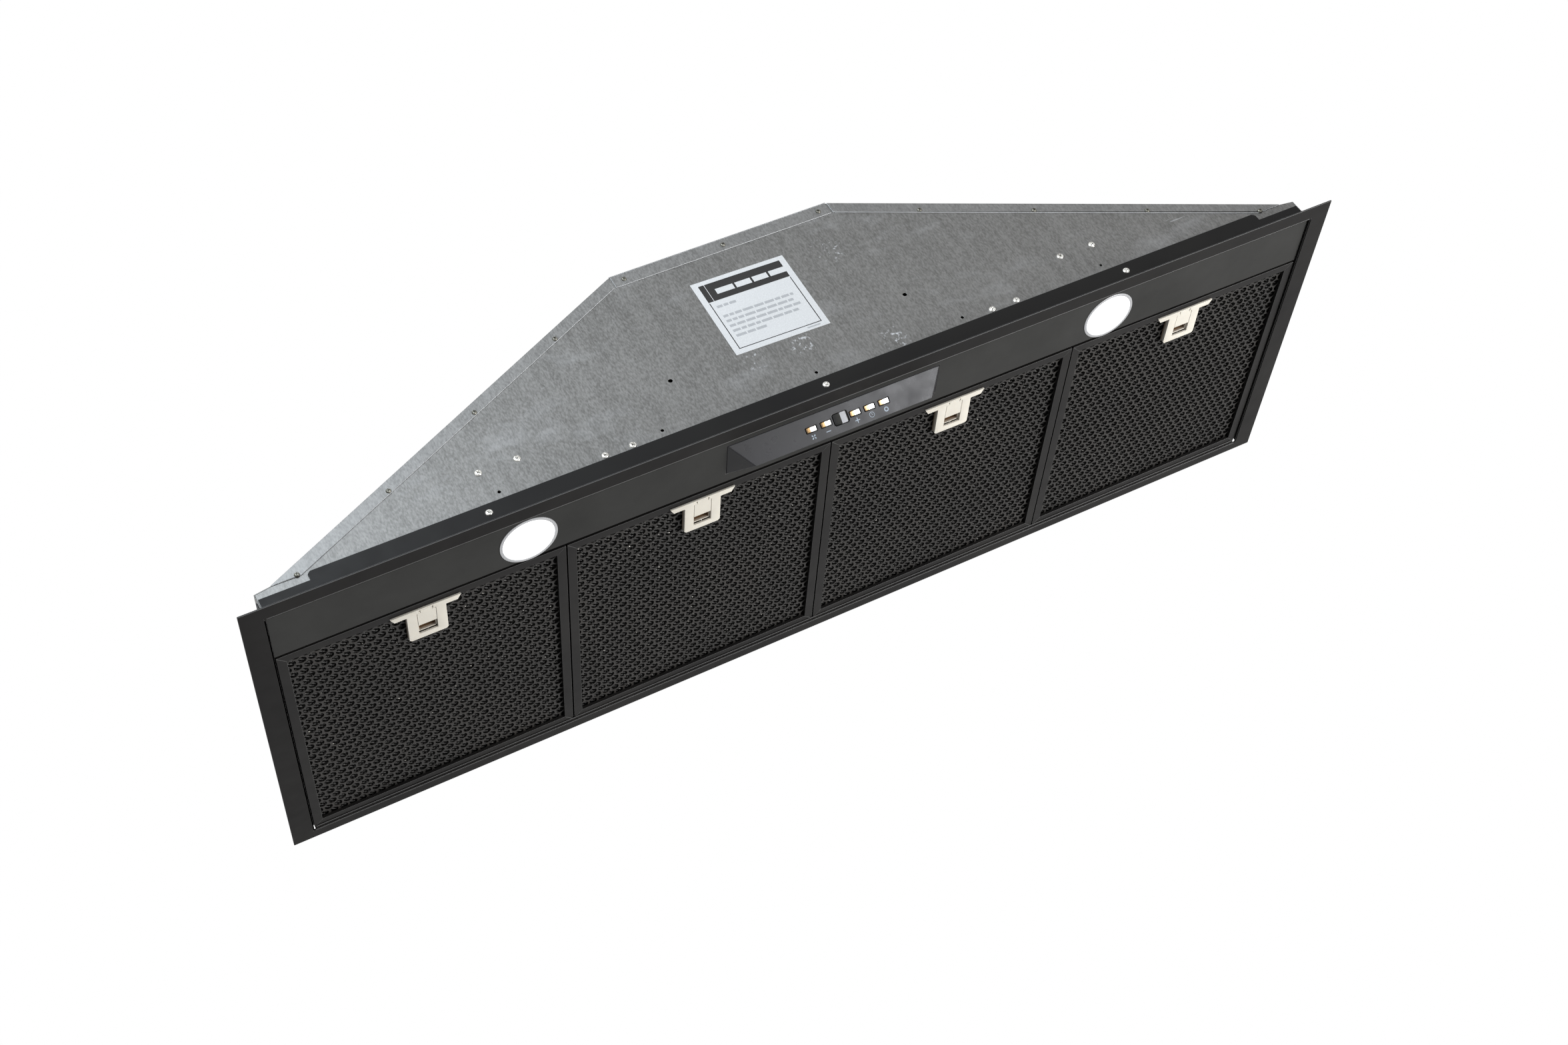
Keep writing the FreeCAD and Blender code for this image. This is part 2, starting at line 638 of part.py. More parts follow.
def wedge_solid(inset, base_z):
    """The hipped wedge below base_z, with every sloping face moved in by inset."""
    front = ((WEDGE_FRONT + inset * FACE_IN[0], BAND_RISE + inset * FACE_IN[1]), FACE_ALONG)
    back = ((WEDGE_BACK + inset * BACK_IN[0], BAND_RISE + inset * BACK_IN[1]), BACK_ALONG)
    level = ((0.0, base_z), (1.0, 0.0))
    ridge_y, ridge_z = meet(front, back)
    front_y = meet(front, level)[0]
    back_y = meet(back, level)[0]
    end_slope = (WEDGE_HALF - WEDGE_RIDGE_HALF) / (BAND_RISE - WEDGE_RIDGE_Z)
    end_shift = inset * math.hypot(1.0, end_slope)
    ridge_half = WEDGE_HALF - end_shift - end_slope * (BAND_RISE - ridge_z)
    base_half = WEDGE_HALF - end_shift - end_slope * (BAND_RISE - base_z)
    corners = {}
    for sign in (-1, 1):
        corners[sign, "front"] = point(sign * base_half, front_y, base_z)
        corners[sign, "back"] = point(sign * base_half, back_y, base_z)
        corners[sign, "ridge"] = point(sign * ridge_half, ridge_y, ridge_z)
    rings = [[(-1, "front"), (1, "front"), (1, "ridge"), (-1, "ridge")],
             [(-1, "back"), (1, "back"), (1, "ridge"), (-1, "ridge")],
             [(-1, "front"), (-1, "back"), (-1, "ridge")],
             [(1, "front"), (1, "back"), (1, "ridge")],
             [(-1, "front"), (1, "front"), (1, "back"), (-1, "back")]]
    faces = []
    for names in rings:
        ring_points = [corners[name] for name in names]
        faces.append(Part.Face(Part.makePolygon(ring_points + ring_points[:1])))
    solid = Part.makeSolid(Part.makeShell(faces))
    return solid if solid.Volume > 0 else solid.reversed()


def on_face(x, along, depth):
    """Point on the sloping face: along from its front edge, depth inwards."""
    y = WEDGE_FRONT + along * FACE_ALONG[0] + depth * FACE_IN[0]
    z = BAND_RISE + along * FACE_ALONG[1] + depth * FACE_IN[1]
    return point(x, y, z)


def face_block(x, along, length, height, depth0, depth1, radius=0.0):
    """Block square to the sloping face, centred at x and along, between two depths."""
    x0, x1 = x - length / 2, x + length / 2
    low, high = along - height / 2, along + height / 2
    corners = [on_face(x0, low, depth0), on_face(x1, low, depth0), on_face(x1, high, depth0),
               on_face(x0, high, depth0)]
    reach = depth1 - depth0
    inwards = point(0, reach * FACE_IN[0], reach * FACE_IN[1])
    block = prism(corners, inwards)
    if radius:
        uprights = [e for e in block.Edges if abs(e.Length - reach) < 1e-6]
        block = block.makeFillet(radius, uprights)
    return block


def board_post_x():
    return BOARD_LENGTH / 2 - BOARD_POST_INSET


def control_housing():
    outer = wedge_solid(0.0, BAND_RISE)
    inner = wedge_solid(WEDGE_WALL, BAND_RISE)
    collar = box(-WEDGE_HALF, WEDGE_HALF, WEDGE_FRONT, WEDGE_BACK, BAND_RISE, BAND_TOP + WEDGE_LIP_T)
    lip_half = WEDGE_HALF + WEDGE_LIP
    lip = box(-lip_half, lip_half, WEDGE_FRONT - WEDGE_LIP, WEDGE_BACK + WEDGE_LIP, BAND_TOP,
              BAND_TOP + WEDGE_LIP_T)
    room = box(-WEDGE_HALF + WEDGE_WALL * 2, WEDGE_HALF - WEDGE_WALL * 2, WEDGE_FRONT + WEDGE_WALL * 1.5,
               WEDGE_BACK - WEDGE_WALL * 1.5, BAND_RISE, BAND_TOP + WEDGE_LIP_T)
    shell = fuse(outer, collar, lip).cut([inner, room])
    posts = []
    for x in (-board_post_x(), board_post_x()):
        start = on_face(x, CONTROL_ROW, WEDGE_WALL - 0.2)
        posts.append(Part.makeCylinder(BOARD_POST_R, BOARD_DEPTH - WEDGE_WALL + 0.2, start,
                                       point(0, *FACE_IN)))
    holes = [face_block(WINDOW_X, CONTROL_ROW, WINDOW_LENGTH, WINDOW_HEIGHT, 0, WEDGE_WALL, WINDOW_CORNER_R)]
    for x in BUTTON_X:
        holes.append(face_block(x, CONTROL_ROW, BUTTON_LENGTH, BUTTON_HEIGHT, 0, WEDGE_WALL, 0.6))
    return fuse(shell, *posts).cut(holes)


def button(x):
    """Key cap with a lip behind the face that keeps it from falling out."""
    length = BUTTON_LENGTH - 2 * BUTTON_GAP
    height = BUTTON_HEIGHT - 2 * BUTTON_GAP
    cap = face_block(x, CONTROL_ROW, length, height, BUTTON_INSET, BUTTON_DEPTH, 0.5)
    back = WEDGE_WALL + BUTTON_GAP
    lip = face_block(x, CONTROL_ROW, length + 2 * BUTTON_LIP, height + 2 * BUTTON_LIP, back,
                     back + BUTTON_LIP_T)
    return fuse(cap, lip)


def display_window():
    pane = face_block(WINDOW_X, CONTROL_ROW, WINDOW_LENGTH - 2 * BUTTON_GAP, WINDOW_HEIGHT - 2 * BUTTON_GAP,
                      BUTTON_INSET, WEDGE_WALL, WINDOW_CORNER_R - BUTTON_GAP)
    lip = face_block(WINDOW_X, CONTROL_ROW, WINDOW_LENGTH + 2 * WINDOW_LIP, WINDOW_HEIGHT + 2 * WINDOW_LIP,
                     WEDGE_WALL, WEDGE_WALL + WINDOW_T)
    return fuse(pane, lip)


def control_board():
    board = face_block(0, CONTROL_ROW, BOARD_LENGTH, BOARD_HEIGHT, BOARD_DEPTH, BOARD_DEPTH + BOARD_T)
    pieces = [board]
    switch_face = BOARD_DEPTH - SWITCH_H
    plunger_face = BUTTON_DEPTH + BUTTON_TRAVEL + BUTTON_GAP
    for x in BUTTON_X:
        pieces.append(face_block(x, CONTROL_ROW, SWITCH_SIZE, SWITCH_SIZE, switch_face, BOARD_DEPTH))
        pieces.append(Part.makeCylinder(PLUNGER_R, switch_face - plunger_face,
                                        on_face(x, CONTROL_ROW, plunger_face), point(0, *FACE_IN)))
    pieces.append(face_block(WINDOW_X, CONTROL_ROW, WINDOW_LENGTH, WINDOW_HEIGHT - 1.0,
                             WEDGE_WALL + WINDOW_T, BOARD_DEPTH))
    return fuse(*pieces)


# ---------------------------------------------------------------- filters

def filter_frame(x):
    """Channel frame: outer web, top and bottom flanges and a short lip inside the rim."""
    x0, x1 = x - FILTER_HALF, x + FILTER_HALF

    def inset(by, z0, z1):
        return box(x0 + by, x1 - by, FILTER_FRONT + by, FILTER_BACK - by, z0, z1)

    block = inset(0, FILTER_FACE, FILTER_TOP)
    uprights = [e for e in block.Edges if abs(e.Length - FILTER_T) < 1e-6]
    block = block.makeFillet(FILTER_CORNER_R, uprights)
    opening = inset(FILTER_RIM, FILTER_FACE, FILTER_TOP)
    cavity = inset(FILTER_SHEET, FILTER_FACE + FILTER_SHEET, FILTER_TOP - FILTER_SHEET)
    cavity = cavity.makeFillet(FILTER_CORNER_R - FILTER_SHEET, [
        e for e in cavity.Edges if abs(e.Length - FILTER_T + 2 * FILTER_SHEET) < 1e-6])
    lip = inset(FILTER_RIM - FILTER_SHEET, FILTER_FACE + FILTER_SHEET, MESH_FACE).cut(
        inset(FILTER_RIM, FILTER_FACE + FILTER_SHEET, MESH_FACE))
    frame = fuse(block.cut([opening, cavity]), lip)
    reach = TONGUE_HALF + TONGUE_GAP
    slot = box(x - reach, x + reach, FILTER_FRONT, FILTER_FRONT + FILTER_SHEET,
               TONGUE_Z - TONGUE_GAP, TONGUE_Z + TONGUE_T + TONGUE_GAP)
    return frame.cut(slot)


def filter_mesh(x):
    """Perforated sheet on its mesh, lying on the frame's lip, with a pocket for the latch."""
    by = FILTER_SHEET + MESH_GAP
    x0, x1 = x - FILTER_HALF + by, x + FILTER_HALF - by
    y0, y1 = FILTER_FRONT + by, FILTER_BACK - by
    block = box(x0, x1, y0, y1, MESH_FACE, MESH_FACE + MESH_T)
    uprights = [e for e in block.Edges if abs(e.Length - MESH_T) < 1e-6]
    block = block.makeFillet(FILTER_CORNER_R - MESH_GAP, uprights)
    reach = LATCH_BOX_HALF + MESH_GAP
    pocket = box(x - reach, x + reach, y0, latch_y(LATCH_LENGTH) + MESH_GAP, MESH_FACE, MESH_FACE + MESH_T)
    return block.cut(pocket)


def latch_y(offset):
    return LATCH_FRONT + offset


def latch_body(x):
    """Moulded T-shaped latch housing: a face plate with a crossbar and a hollow box."""
    half = LATCH_WIDTH / 2
    rim_inner = FILTER_FRONT + FILTER_RIM + MESH_GAP
    back = latch_y(LATCH_LENGTH)
    bar = LATCH_BAR_LENGTH / 2
    cross = [(x - bar, LATCH_FRONT), (x + bar, LATCH_FRONT),
             (x + bar - LATCH_BAR_TAPER, latch_y(LATCH_BAR_DEPTH)),
             (x - bar + LATCH_BAR_TAPER, latch_y(LATCH_BAR_DEPTH))]
    corner = LATCH_CORNER
    stem = [(x - half, LATCH_FRONT), (x + half, LATCH_FRONT), (x + half, back - corner),
            (x + half - corner, back), (x - half + corner, back), (x - half, back - corner)]
    plate = [prism_z(cross, LATCH_FACE, FILTER_FACE), prism_z(stem, LATCH_FACE, FILTER_FACE)]
    skirt = box(x - half, x + half, rim_inner, back - corner, FILTER_FACE, MESH_FACE)
    tower = box(x - LATCH_BOX_HALF, x + LATCH_BOX_HALF, rim_inner, back, FILTER_FACE, LATCH_TOP)
    solid = fuse(*plate, skirt, tower)
    reach = SLIDER_HALF + SLIDER_GAP
    roof = LATCH_TOP - LATCH_WALL
    cuts = [box(x - reach, x + reach, latch_y(SLIDER_FACE_Y) - SLIDER_GAP, latch_y(WINDOW_BACK_Y),
                LATCH_FACE, FILTER_FACE),
            box(x - reach, x + reach, latch_y(SLIDER_FACE_Y) - SLIDER_GAP, back - LATCH_WALL,
                FILTER_FACE, roof)]
    reach = SLIDER_TAB_HALF + SLIDER_GAP
    tab_front = latch_y(SLIDER_FACE_Y - SLIDER_TAB) - SLIDER_GAP
    cuts.append(box(x - reach, x + reach, tab_front, latch_y(SLIDER_FACE_Y), LATCH_FACE, FILTER_FACE))
    reach = TONGUE_HALF + TONGUE_GAP
    cuts.append(box(x - reach, x + reach, rim_inner, latch_y(SLIDER_FACE_Y),
                    TONGUE_Z - TONGUE_GAP, roof))
    return solid.cut(cuts)


def latch_slider(x):
    """Sprung slide: finger pocket facing down, tongue that enters the band's catch slot."""
    face = LATCH_FACE + 0.1
    roof = LATCH_TOP - LATCH_WALL - SLIDER_GAP
    low = FILTER_FACE + SLIDER_GAP
    front, pocket, back = latch_y(SLIDER_FACE_Y), latch_y(SLIDER_POCKET_Y), latch_y(SLIDER_BACK_Y)
    plate = box(x - SLIDER_HALF, x + SLIDER_HALF, front, pocket, face, low)
    tab = box(x - SLIDER_TAB_HALF, x + SLIDER_TAB_HALF, front - SLIDER_TAB, front, face,
              FILTER_FACE - SLIDER_GAP)
    block = box(x - SLIDER_HALF, x + SLIDER_HALF, front, back, low, roof)
    tongue = box(x - TONGUE_HALF, x + TONGUE_HALF, BAND_BACK - TONGUE_REACH, front, TONGUE_Z,
                 TONGUE_Z + TONGUE_T)
    floor = roof - SLIDER_WALL
    scoop = prism_x([(pocket - 0.1, face - 1), (back - SLIDER_WALL, face - 1), (back - SLIDER_WALL, floor),
                     (back - SLIDER_WALL - 4.0, floor), (pocket - 0.1, face + 2.2)],
                    x - SLIDER_HALF + 0.9, x + SLIDER_HALF - 0.9)
    return fuse(plate, tab, block, tongue).cut(scoop)


def latch_spring(x):
    """Compression spring between the slider's back and the housing's end wall."""
    start = latch_y(SLIDER_BACK_Y) + 0.1
    end = latch_y(LATCH_LENGTH) - LATCH_WALL - 0.1
    height = end - start - SPRING_WIRE
    helix = Part.makeHelix(height / SPRING_TURNS, height, SPRING_R)
    wire_circle = Part.Circle(point(SPRING_R, 0, 0), point(0, 1, 0), SPRING_WIRE / 2)
    profile = Part.Wire([wire_circle.toShape()])
    coil = Part.Wire(helix).makePipeShell([profile], True, True)
    coil.rotate(point(0, 0, 0), point(1, 0, 0), -90)
    middle = (FILTER_FACE + LATCH_TOP - LATCH_WALL) / 2
    coil.translate(point(x, start + SPRING_WIRE / 2, middle))
    return coil.Solids[0]


# ---------------------------------------------------------------- blower

def scroll_point(turn, extra=0.0):
    """Point on the scroll's inner curve: turn runs 0 to 1 from the tongue to the neck."""
    sweep = math.radians(360.0 - SCROLL_START_DEG)
    angle = math.radians(SCROLL_START_DEG) + turn * sweep
    radius = SCROLL_R_START + turn * (SCROLL_R_END - SCROLL_R_START) + extra
    return FAN_Y + radius * math.cos(angle), FAN_Z + radius * math.sin(angle)


def scroll_curve(x, extra):
    steps = 12
    places = [point(x, *scroll_point(n / steps, extra)) for n in range(steps + 1)]
    curve = Part.BSplineCurve()
    curve.interpolate(places)
    return curve.toShape()


def scroll_face(x, extra):
    """Area inside the scroll and its neck, grown outwards by extra."""
    curve = scroll_curve(x, extra)
    first = curve.Vertexes[0].Point
    last = curve.Vertexes[-1].Point
    corners = [last, point(x, last.y, TOP_UNDER), point(x, first.y, TOP_UNDER), first]
    edges = [curve] + [Part.LineSegment(a, b).toShape() for a, b in zip(corners, corners[1:])]
    return Part.Face(Part.Wire(edges))


def blower_wrap():
    half = FAN_WIDTH / 2 - FAN_WALL
    run = point(2 * half, 0, 0)
    wrap = scroll_face(-half, FAN_WALL).extrude(run).cut(scroll_face(-half, 0.0).extrude(run))
    pieces = [wrap]
    for y0, y1 in ((NECK_FRONT - NECK_FLANGE, NECK_FRONT - 0.2), (NECK_BACK + 0.5, NECK_BACK + NECK_FLANGE)):
        pieces.append(box(-half, half, y0, y1, TOP_UNDER - FAN_WALL, TOP_UNDER))
    holes = []
    for x, y in outlet_screw_places():
        holes.append(cylinder(PAN_SCREW_R + SCREW_GAP, 4, (x, y, TOP_UNDER - 3), (0, 0, 1)))
    return fuse(*pieces).cut(holes)


def blower_side(sign):
    """Side plate of the scroll with a rolled inlet mouth."""
    outer = FAN_WIDTH / 2
    x = -outer if sign < 0 else outer - FAN_WALL
    plate = scroll_face(x, FAN_WALL).extrude(point(FAN_WALL, 0, 0))
    plate = plate.cut(cylinder(INLET_R, FAN_WIDTH, (-outer, FAN_Y, FAN_Z), (1, 0, 0)))
    lip_x = -outer if sign < 0 else outer - INLET_LIP
    lip = ring(INLET_R + FAN_WALL, INLET_R, INLET_LIP, (lip_x, FAN_Y, FAN_Z), (1, 0, 0))
    return fuse(plate, lip)


def motor_bracket():
    """Strap across the left inlet that carries the motor."""
    x1 = -FAN_WIDTH / 2
    x0 = x1 - BRACKET_T
    strap = box(x0, x1, FAN_Y - BRACKET_SPAN / 2, FAN_Y + BRACKET_SPAN / 2,
                FAN_Z - BRACKET_WIDTH / 2, FAN_Z + BRACKET_WIDTH / 2)
    disc = cylinder(MOTOR_BOSS_R + 4.0, BRACKET_T, (x0, FAN_Y, FAN_Z), (1, 0, 0))
    return fuse(strap, disc)


def motor():
    """Motor can and its boss, bored for the shaft."""
    start = MOTOR_FACE_X - MOTOR_LENGTH
    can = cylinder(MOTOR_R, MOTOR_LENGTH, (start, FAN_Y, FAN_Z), (1, 0, 0))
    can = can.makeFillet(5.0, [e for e in can.Edges if e.Closed and len(e.Vertexes) == 1])
    boss_start = -FAN_WIDTH / 2
    boss = cylinder(MOTOR_BOSS_R, start - boss_start + 1.0, (boss_start, FAN_Y, FAN_Z), (1, 0, 0))
    bore = cylinder(SHAFT_R + SHAFT_GAP, MOTOR_LENGTH, (start + 4.0, FAN_Y, FAN_Z), (1, 0, 0))
    return fuse(can, boss).cut(bore)


def motor_shaft():
    start = MOTOR_FACE_X - MOTOR_LENGTH + 5.0
    return cylinder(SHAFT_R, SHAFT_LENGTH, (start, FAN_Y, FAN_Z), (1, 0, 0))


def impeller():
    """Double-inlet wheel: hub, centre disc, two end rings and a row of blades on each side of the disc."""
    half = WHEEL_WIDTH / 2
    hub = ring(HUB_R, SHAFT_R, HUB_LENGTH, (-1.0, FAN_Y, FAN_Z), (1, 0, 0))
    disc = ring(WHEEL_R, HUB_R + WELD_GAP, WHEEL_DISC_T, (0, FAN_Y, FAN_Z), (1, 0, 0))
    pieces = [hub, disc]
    for x in (-half, half - WHEEL_RING_T):
        pieces.append(ring(WHEEL_R, WHEEL_EYE_R, WHEEL_RING_T, (x, FAN_Y, FAN_Z), (1, 0, 0)))
    outer = WHEEL_R - 0.5
    sweep = math.radians(BLADE_SWEEP_DEG)
    foot = (FAN_Y + WHEEL_EYE_R, FAN_Z)
    tip = (FAN_Y + outer * math.cos(sweep), FAN_Z + outer * math.sin(sweep))
    outline = [foot, tip, (tip[0], tip[1] + BLADE_T), (foot[0], foot[1] + BLADE_T)]
    end = half - WHEEL_RING_T - WELD_GAP
    for x0, x1 in ((-end, -WELD_GAP), (WHEEL_DISC_T + WELD_GAP, end)):
        blade = prism_x(outline, x0, x1)
        for n in range(WHEEL_BLADES):
            turned = blade.copy()
            turned.rotate(point(0, FAN_Y, FAN_Z), point(1, 0, 0), n * 360.0 / WHEEL_BLADES)
            pieces.append(turned)
    return pieces


# ---------------------------------------------------------------- duct outlet

def outlet_collar():
    base = (0, DUCT_Y, TOP_FACE)
    tube = ring(DUCT_R, DUCT_R - DUCT_WALL, DUCT_HEIGHT, base, (0, 0, 1))
    flange = ring(DUCT_FLANGE_R, DUCT_R - DUCT_WALL, DUCT_FLANGE_T, base, (0, 0, 1))
    stop_z = DAMPER_Z - DAMPER_T / 2 - DAMPER_STOP_T - 0.1
    stop_inner = DUCT_R - DUCT_WALL - DAMPER_STOP
    stop = ring(DUCT_R - DUCT_WALL / 2, stop_inner, DAMPER_STOP_T, (0, DUCT_Y, stop_z), (0, 0, 1))
    clear = DAMPER_KNUCKLE_R + 1.0
    stop = stop.cut(box(-clear, clear, DUCT_Y - DUCT_R, DUCT_Y + DUCT_R, stop_z, stop_z + DAMPER_STOP_T))
    collar = fuse(tube, flange, *stop.Solids)
    holes = [cylinder(DAMPER_PIN_R, 2 * DUCT_R + 2, (0, DUCT_Y - DUCT_R - 1, DAMPER_Z), (0, 1, 0))]
    for x, y in duct_screw_places():
        holes.append(cylinder(PAN_SCREW_R + SCREW_GAP, 3, (x, y, TOP_FACE - 1), (0, 0, 1)))
    return collar.cut(holes)


def damper_pin():
    return cylinder(DAMPER_PIN_R, 2 * DUCT_R, (0, DUCT_Y - DUCT_R, DAMPER_Z), (0, 1, 0))


def damper_flap(sign):
    """Half-round leaf with knuckles on the pin; the other leaf's knuckles lie between."""
    radius = DUCT_R - DUCT_WALL - DAMPER_GAP
    z0 = DAMPER_Z - DAMPER_T / 2
    disc = cylinder(radius, DAMPER_T, (0, DUCT_Y, z0), (0, 0, 1))
    edge = DAMPER_KNUCKLE_R + 0.6
    side = box(edge, radius, DUCT_Y - radius, DUCT_Y + radius, z0, z0 + DAMPER_T)
    leaf = disc.common(side)
    pitch = DAMPER_KNUCKLE_LENGTH + DAMPER_KNUCKLE_SPACE
    first = DUCT_Y - pitch * (DAMPER_KNUCKLES - 1) / 2
    pieces = [leaf]
    for n in range(DAMPER_KNUCKLES):
        if n % 2 == (0 if sign > 0 else 1):
            y = first + n * pitch - DAMPER_KNUCKLE_LENGTH / 2
            pieces.append(cylinder(DAMPER_KNUCKLE_R, DAMPER_KNUCKLE_LENGTH, (0, y, DAMPER_Z), (0, 1, 0)))
            pieces.append(box(0, edge + 1, y, y + DAMPER_KNUCKLE_LENGTH, z0, z0 + DAMPER_T))
    flap = fuse(*pieces)
    bore = cylinder(DAMPER_PIN_R + DAMPER_PIN_GAP, 2 * DUCT_R, (0, DUCT_Y - DUCT_R, DAMPER_Z), (0, 1, 0))
    flap = flap.cut(bore)
    return flap if sign > 0 else mirror_x(flap)


def outlet_screws():
    screws = [screw(x, y, TOP_FACE, (0, 0, 1), PAN_HEAD_R, PAN_SCREW_R) for x, y in outlet_screw_places()]
    for x, y in duct_screw_places():
        screws.append(screw(x, y, TOP_FACE + DUCT_FLANGE_T, (0, 0, 1), PAN_HEAD_R, PAN_SCREW_R))
    return screws


# ---------------------------------------------------------------- electrics

def box_centre_x():
    return sum(BOX_SCREW_X) / 2


def junction_box():
    x = box_centre_x()
    x0, x1 = x - BOX_LENGTH / 2, x + BOX_LENGTH / 2
    z0, z1 = BOX_SCREW_RISE - BOX_HEIGHT / 2, BOX_SCREW_RISE + BOX_HEIGHT / 2
    y0, y1 = PANEL_FRONT, PANEL_FRONT + BOX_DEPTH
    shell = box(x0, x1, y0, y1, z0, z1).cut(
        box(x0 + BOX_WALL, x1 - BOX_WALL, y0 + BOX_WALL, y1, z0 + BOX_WALL, z1 - BOX_WALL))
    holes = [cylinder(PAN_SCREW_R + SCREW_GAP, BOX_WALL + 2, (sx, y0 - 1, BOX_SCREW_RISE), (0, 1, 0))
             for sx in BOX_SCREW_X]
    holes.append(cylinder(BOX_WIRE_HOLE_R, BOX_WALL + 2, (x0 - 1, (y0 + y1) / 2, BOX_SCREW_RISE), (1, 0, 0)))
    return shell.cut(holes)


def junction_box_lid():
    x = box_centre_x()
    y = PANEL_FRONT + BOX_DEPTH
    cap = box(x - BOX_LENGTH / 2, x + BOX_LENGTH / 2, y, y + BOX_LID_T,
              BOX_SCREW_RISE - BOX_HEIGHT / 2, BOX_SCREW_RISE + BOX_HEIGHT / 2)
    by = BOX_WALL + BOX_LID_GAP
    plug = box(x - BOX_LENGTH / 2 + by, x + BOX_LENGTH / 2 - by, y - BOX_LID_T, y,
               BOX_SCREW_RISE - BOX_HEIGHT / 2 + by, BOX_SCREW_RISE + BOX_HEIGHT / 2 - by)
    return fuse(cap, plug)


def terminal_block():
    x0 = box_centre_x() - TERMINALS * TERMINAL_PITCH / 2
    y0 = PANEL_FRONT + BOX_WALL
    z0 = BOX_SCREW_RISE + PAN_SCREW_R + 3.0
    base = box(x0, x0 + TERMINALS * TERMINAL_PITCH, y0, y0 + TERMINAL_SIZE, z0, z0 + TERMINAL_SIZE)
    cuts = []
    for n in range(TERMINALS):
        x = x0 + (n + 0.5) * TERMINAL_PITCH
        face = y0 + TERMINAL_SIZE
        cuts.append(cylinder(TERMINAL_SCREW_R, TERMINAL_SCREW_DEPTH,
                             (x, face - TERMINAL_SCREW_DEPTH, z0 + TERMINAL_SIZE / 2), (0, 1, 0)))
        cuts.append(cylinder(TERMINAL_WIRE_R, TERMINAL_SIZE, (x, y0 + 4.0, z0), (0, 0, 1)))
    for n in range(1, TERMINALS):
        x = x0 + n * TERMINAL_PITCH
        cuts.append(box(x - TERMINAL_SLOT / 2, x + TERMINAL_SLOT / 2, y0 + TERMINAL_SIZE - TERMINAL_SLOT_DEPTH,
                        y0 + TERMINAL_SIZE, z0, z0 + TERMINAL_SIZE))
    return base.cut(cuts)


def hexagon(across, length, base):
    radius = across / math.sqrt(3)
    corners = []
    for n in range(6):
        angle = math.radians(60 * n)
        corners.append((base[0] + radius * math.cos(angle), base[1] + radius * math.sin(angle)))
    return prism_z(corners, base[2], base[2] + length)


def cable_gland():
    """Cable gland through the top panel: threaded body, hexagon, dome nut and lock nut."""
    low = TOP_UNDER - GLAND_NUT_T - 1.0
    body = cylinder(GLAND_THREAD_R, TOP_FACE + GLAND_RISE - low, (GLAND_X, GLAND_Y, low), (0, 0, 1))
    lock = hexagon(GLAND_HEX, GLAND_NUT_T, (GLAND_X, GLAND_Y, TOP_UNDER - GLAND_NUT_T))
    seat = hexagon(GLAND_HEX, GLAND_NUT_T, (GLAND_X, GLAND_Y, TOP_FACE))
    nut_z = TOP_FACE + GLAND_NUT_T + GLAND_NECK
    dome_z = nut_z + GLAND_DOME_NUT_T
    nut = hexagon(GLAND_HEX - 2.0, GLAND_DOME_NUT_T, (GLAND_X, GLAND_Y, nut_z))
    dome = Part.makeCone(GLAND_HEX / 2 - 1.5, GLAND_BORE_R + 2.0, GLAND_RISE + TOP_FACE - dome_z,
                         point(GLAND_X, GLAND_Y, dome_z), point(0, 0, 1))
    body = body.common(cylinder(GLAND_THREAD_R, dome_z - low, (GLAND_X, GLAND_Y, low), (0, 0, 1)))
    gland = fuse(body, lock, seat, nut, dome)
    return gland.cut(cylinder(GLAND_BORE_R, 60, (GLAND_X, GLAND_Y, low - 5), (0, 0, 1)))


def run_capacitor():
    """Motor capacitor in a saddle clip on the back panel."""
    y = PANEL_BACK - CAPACITOR_R - CAPACITOR_GAP
    x0 = CAPACITOR_X - CAPACITOR_LENGTH / 2
    can = cylinder(CAPACITOR_R, CAPACITOR_LENGTH, (x0, y, CAPACITOR_Z), (1, 0, 0))
    can = can.makeFillet(2.0, [e for e in can.Edges if e.Closed and len(e.Vertexes) == 1])
    clip_x = CAPACITOR_X - CAPACITOR_CLIP_HALF
    reach = CAPACITOR_R + CAPACITOR_FOOT
    clip = ring(CAPACITOR_R + 1.2, CAPACITOR_R - 0.5, 2 * CAPACITOR_CLIP_HALF, (clip_x, y, CAPACITOR_Z),
                (1, 0, 0))
    foot = box(clip_x, clip_x + 2 * CAPACITOR_CLIP_HALF, PANEL_BACK - CAPACITOR_FOOT_T, PANEL_BACK,
               CAPACITOR_Z - reach, CAPACITOR_Z + reach)
    return fuse(can, clip, foot)


def led_driver():
    """Driver of the lamps: a flanged base on the front panel and its smaller case."""
    x0, x1 = -box_centre_x() - DRIVER_LENGTH / 2, -box_centre_x() + DRIVER_LENGTH / 2
    z0, z1 = BOX_SCREW_RISE - DRIVER_HEIGHT / 2, BOX_SCREW_RISE + DRIVER_HEIGHT / 2
    y0 = PANEL_FRONT
    base = box(x0, x1, y0, y0 + DRIVER_BASE_T, z0, z1)
    body = box(x0 + DRIVER_STEP_X, x1 - DRIVER_STEP_X, y0 + DRIVER_BASE_T, y0 + DRIVER_DEPTH,
               z0 + DRIVER_STEP_Z, z1 - DRIVER_STEP_Z)
    deep = [e for e in body.Edges if abs(e.Vertexes[0].Point.y - e.Vertexes[1].Point.y) > 1]
    body = body.makeFillet(DRIVER_CORNER_R, deep)
    holes = []
    for x in BOX_SCREW_X:
        holes.append(cylinder(PAN_SCREW_R + SCREW_GAP, DRIVER_BASE_T - 1, (-x, y0, BOX_SCREW_RISE), (0, 1, 0)))
    return fuse(base, body).cut(holes)


# ---------------------------------------------------------------- write every piece

os.makedirs("parts", exist_ok=True)

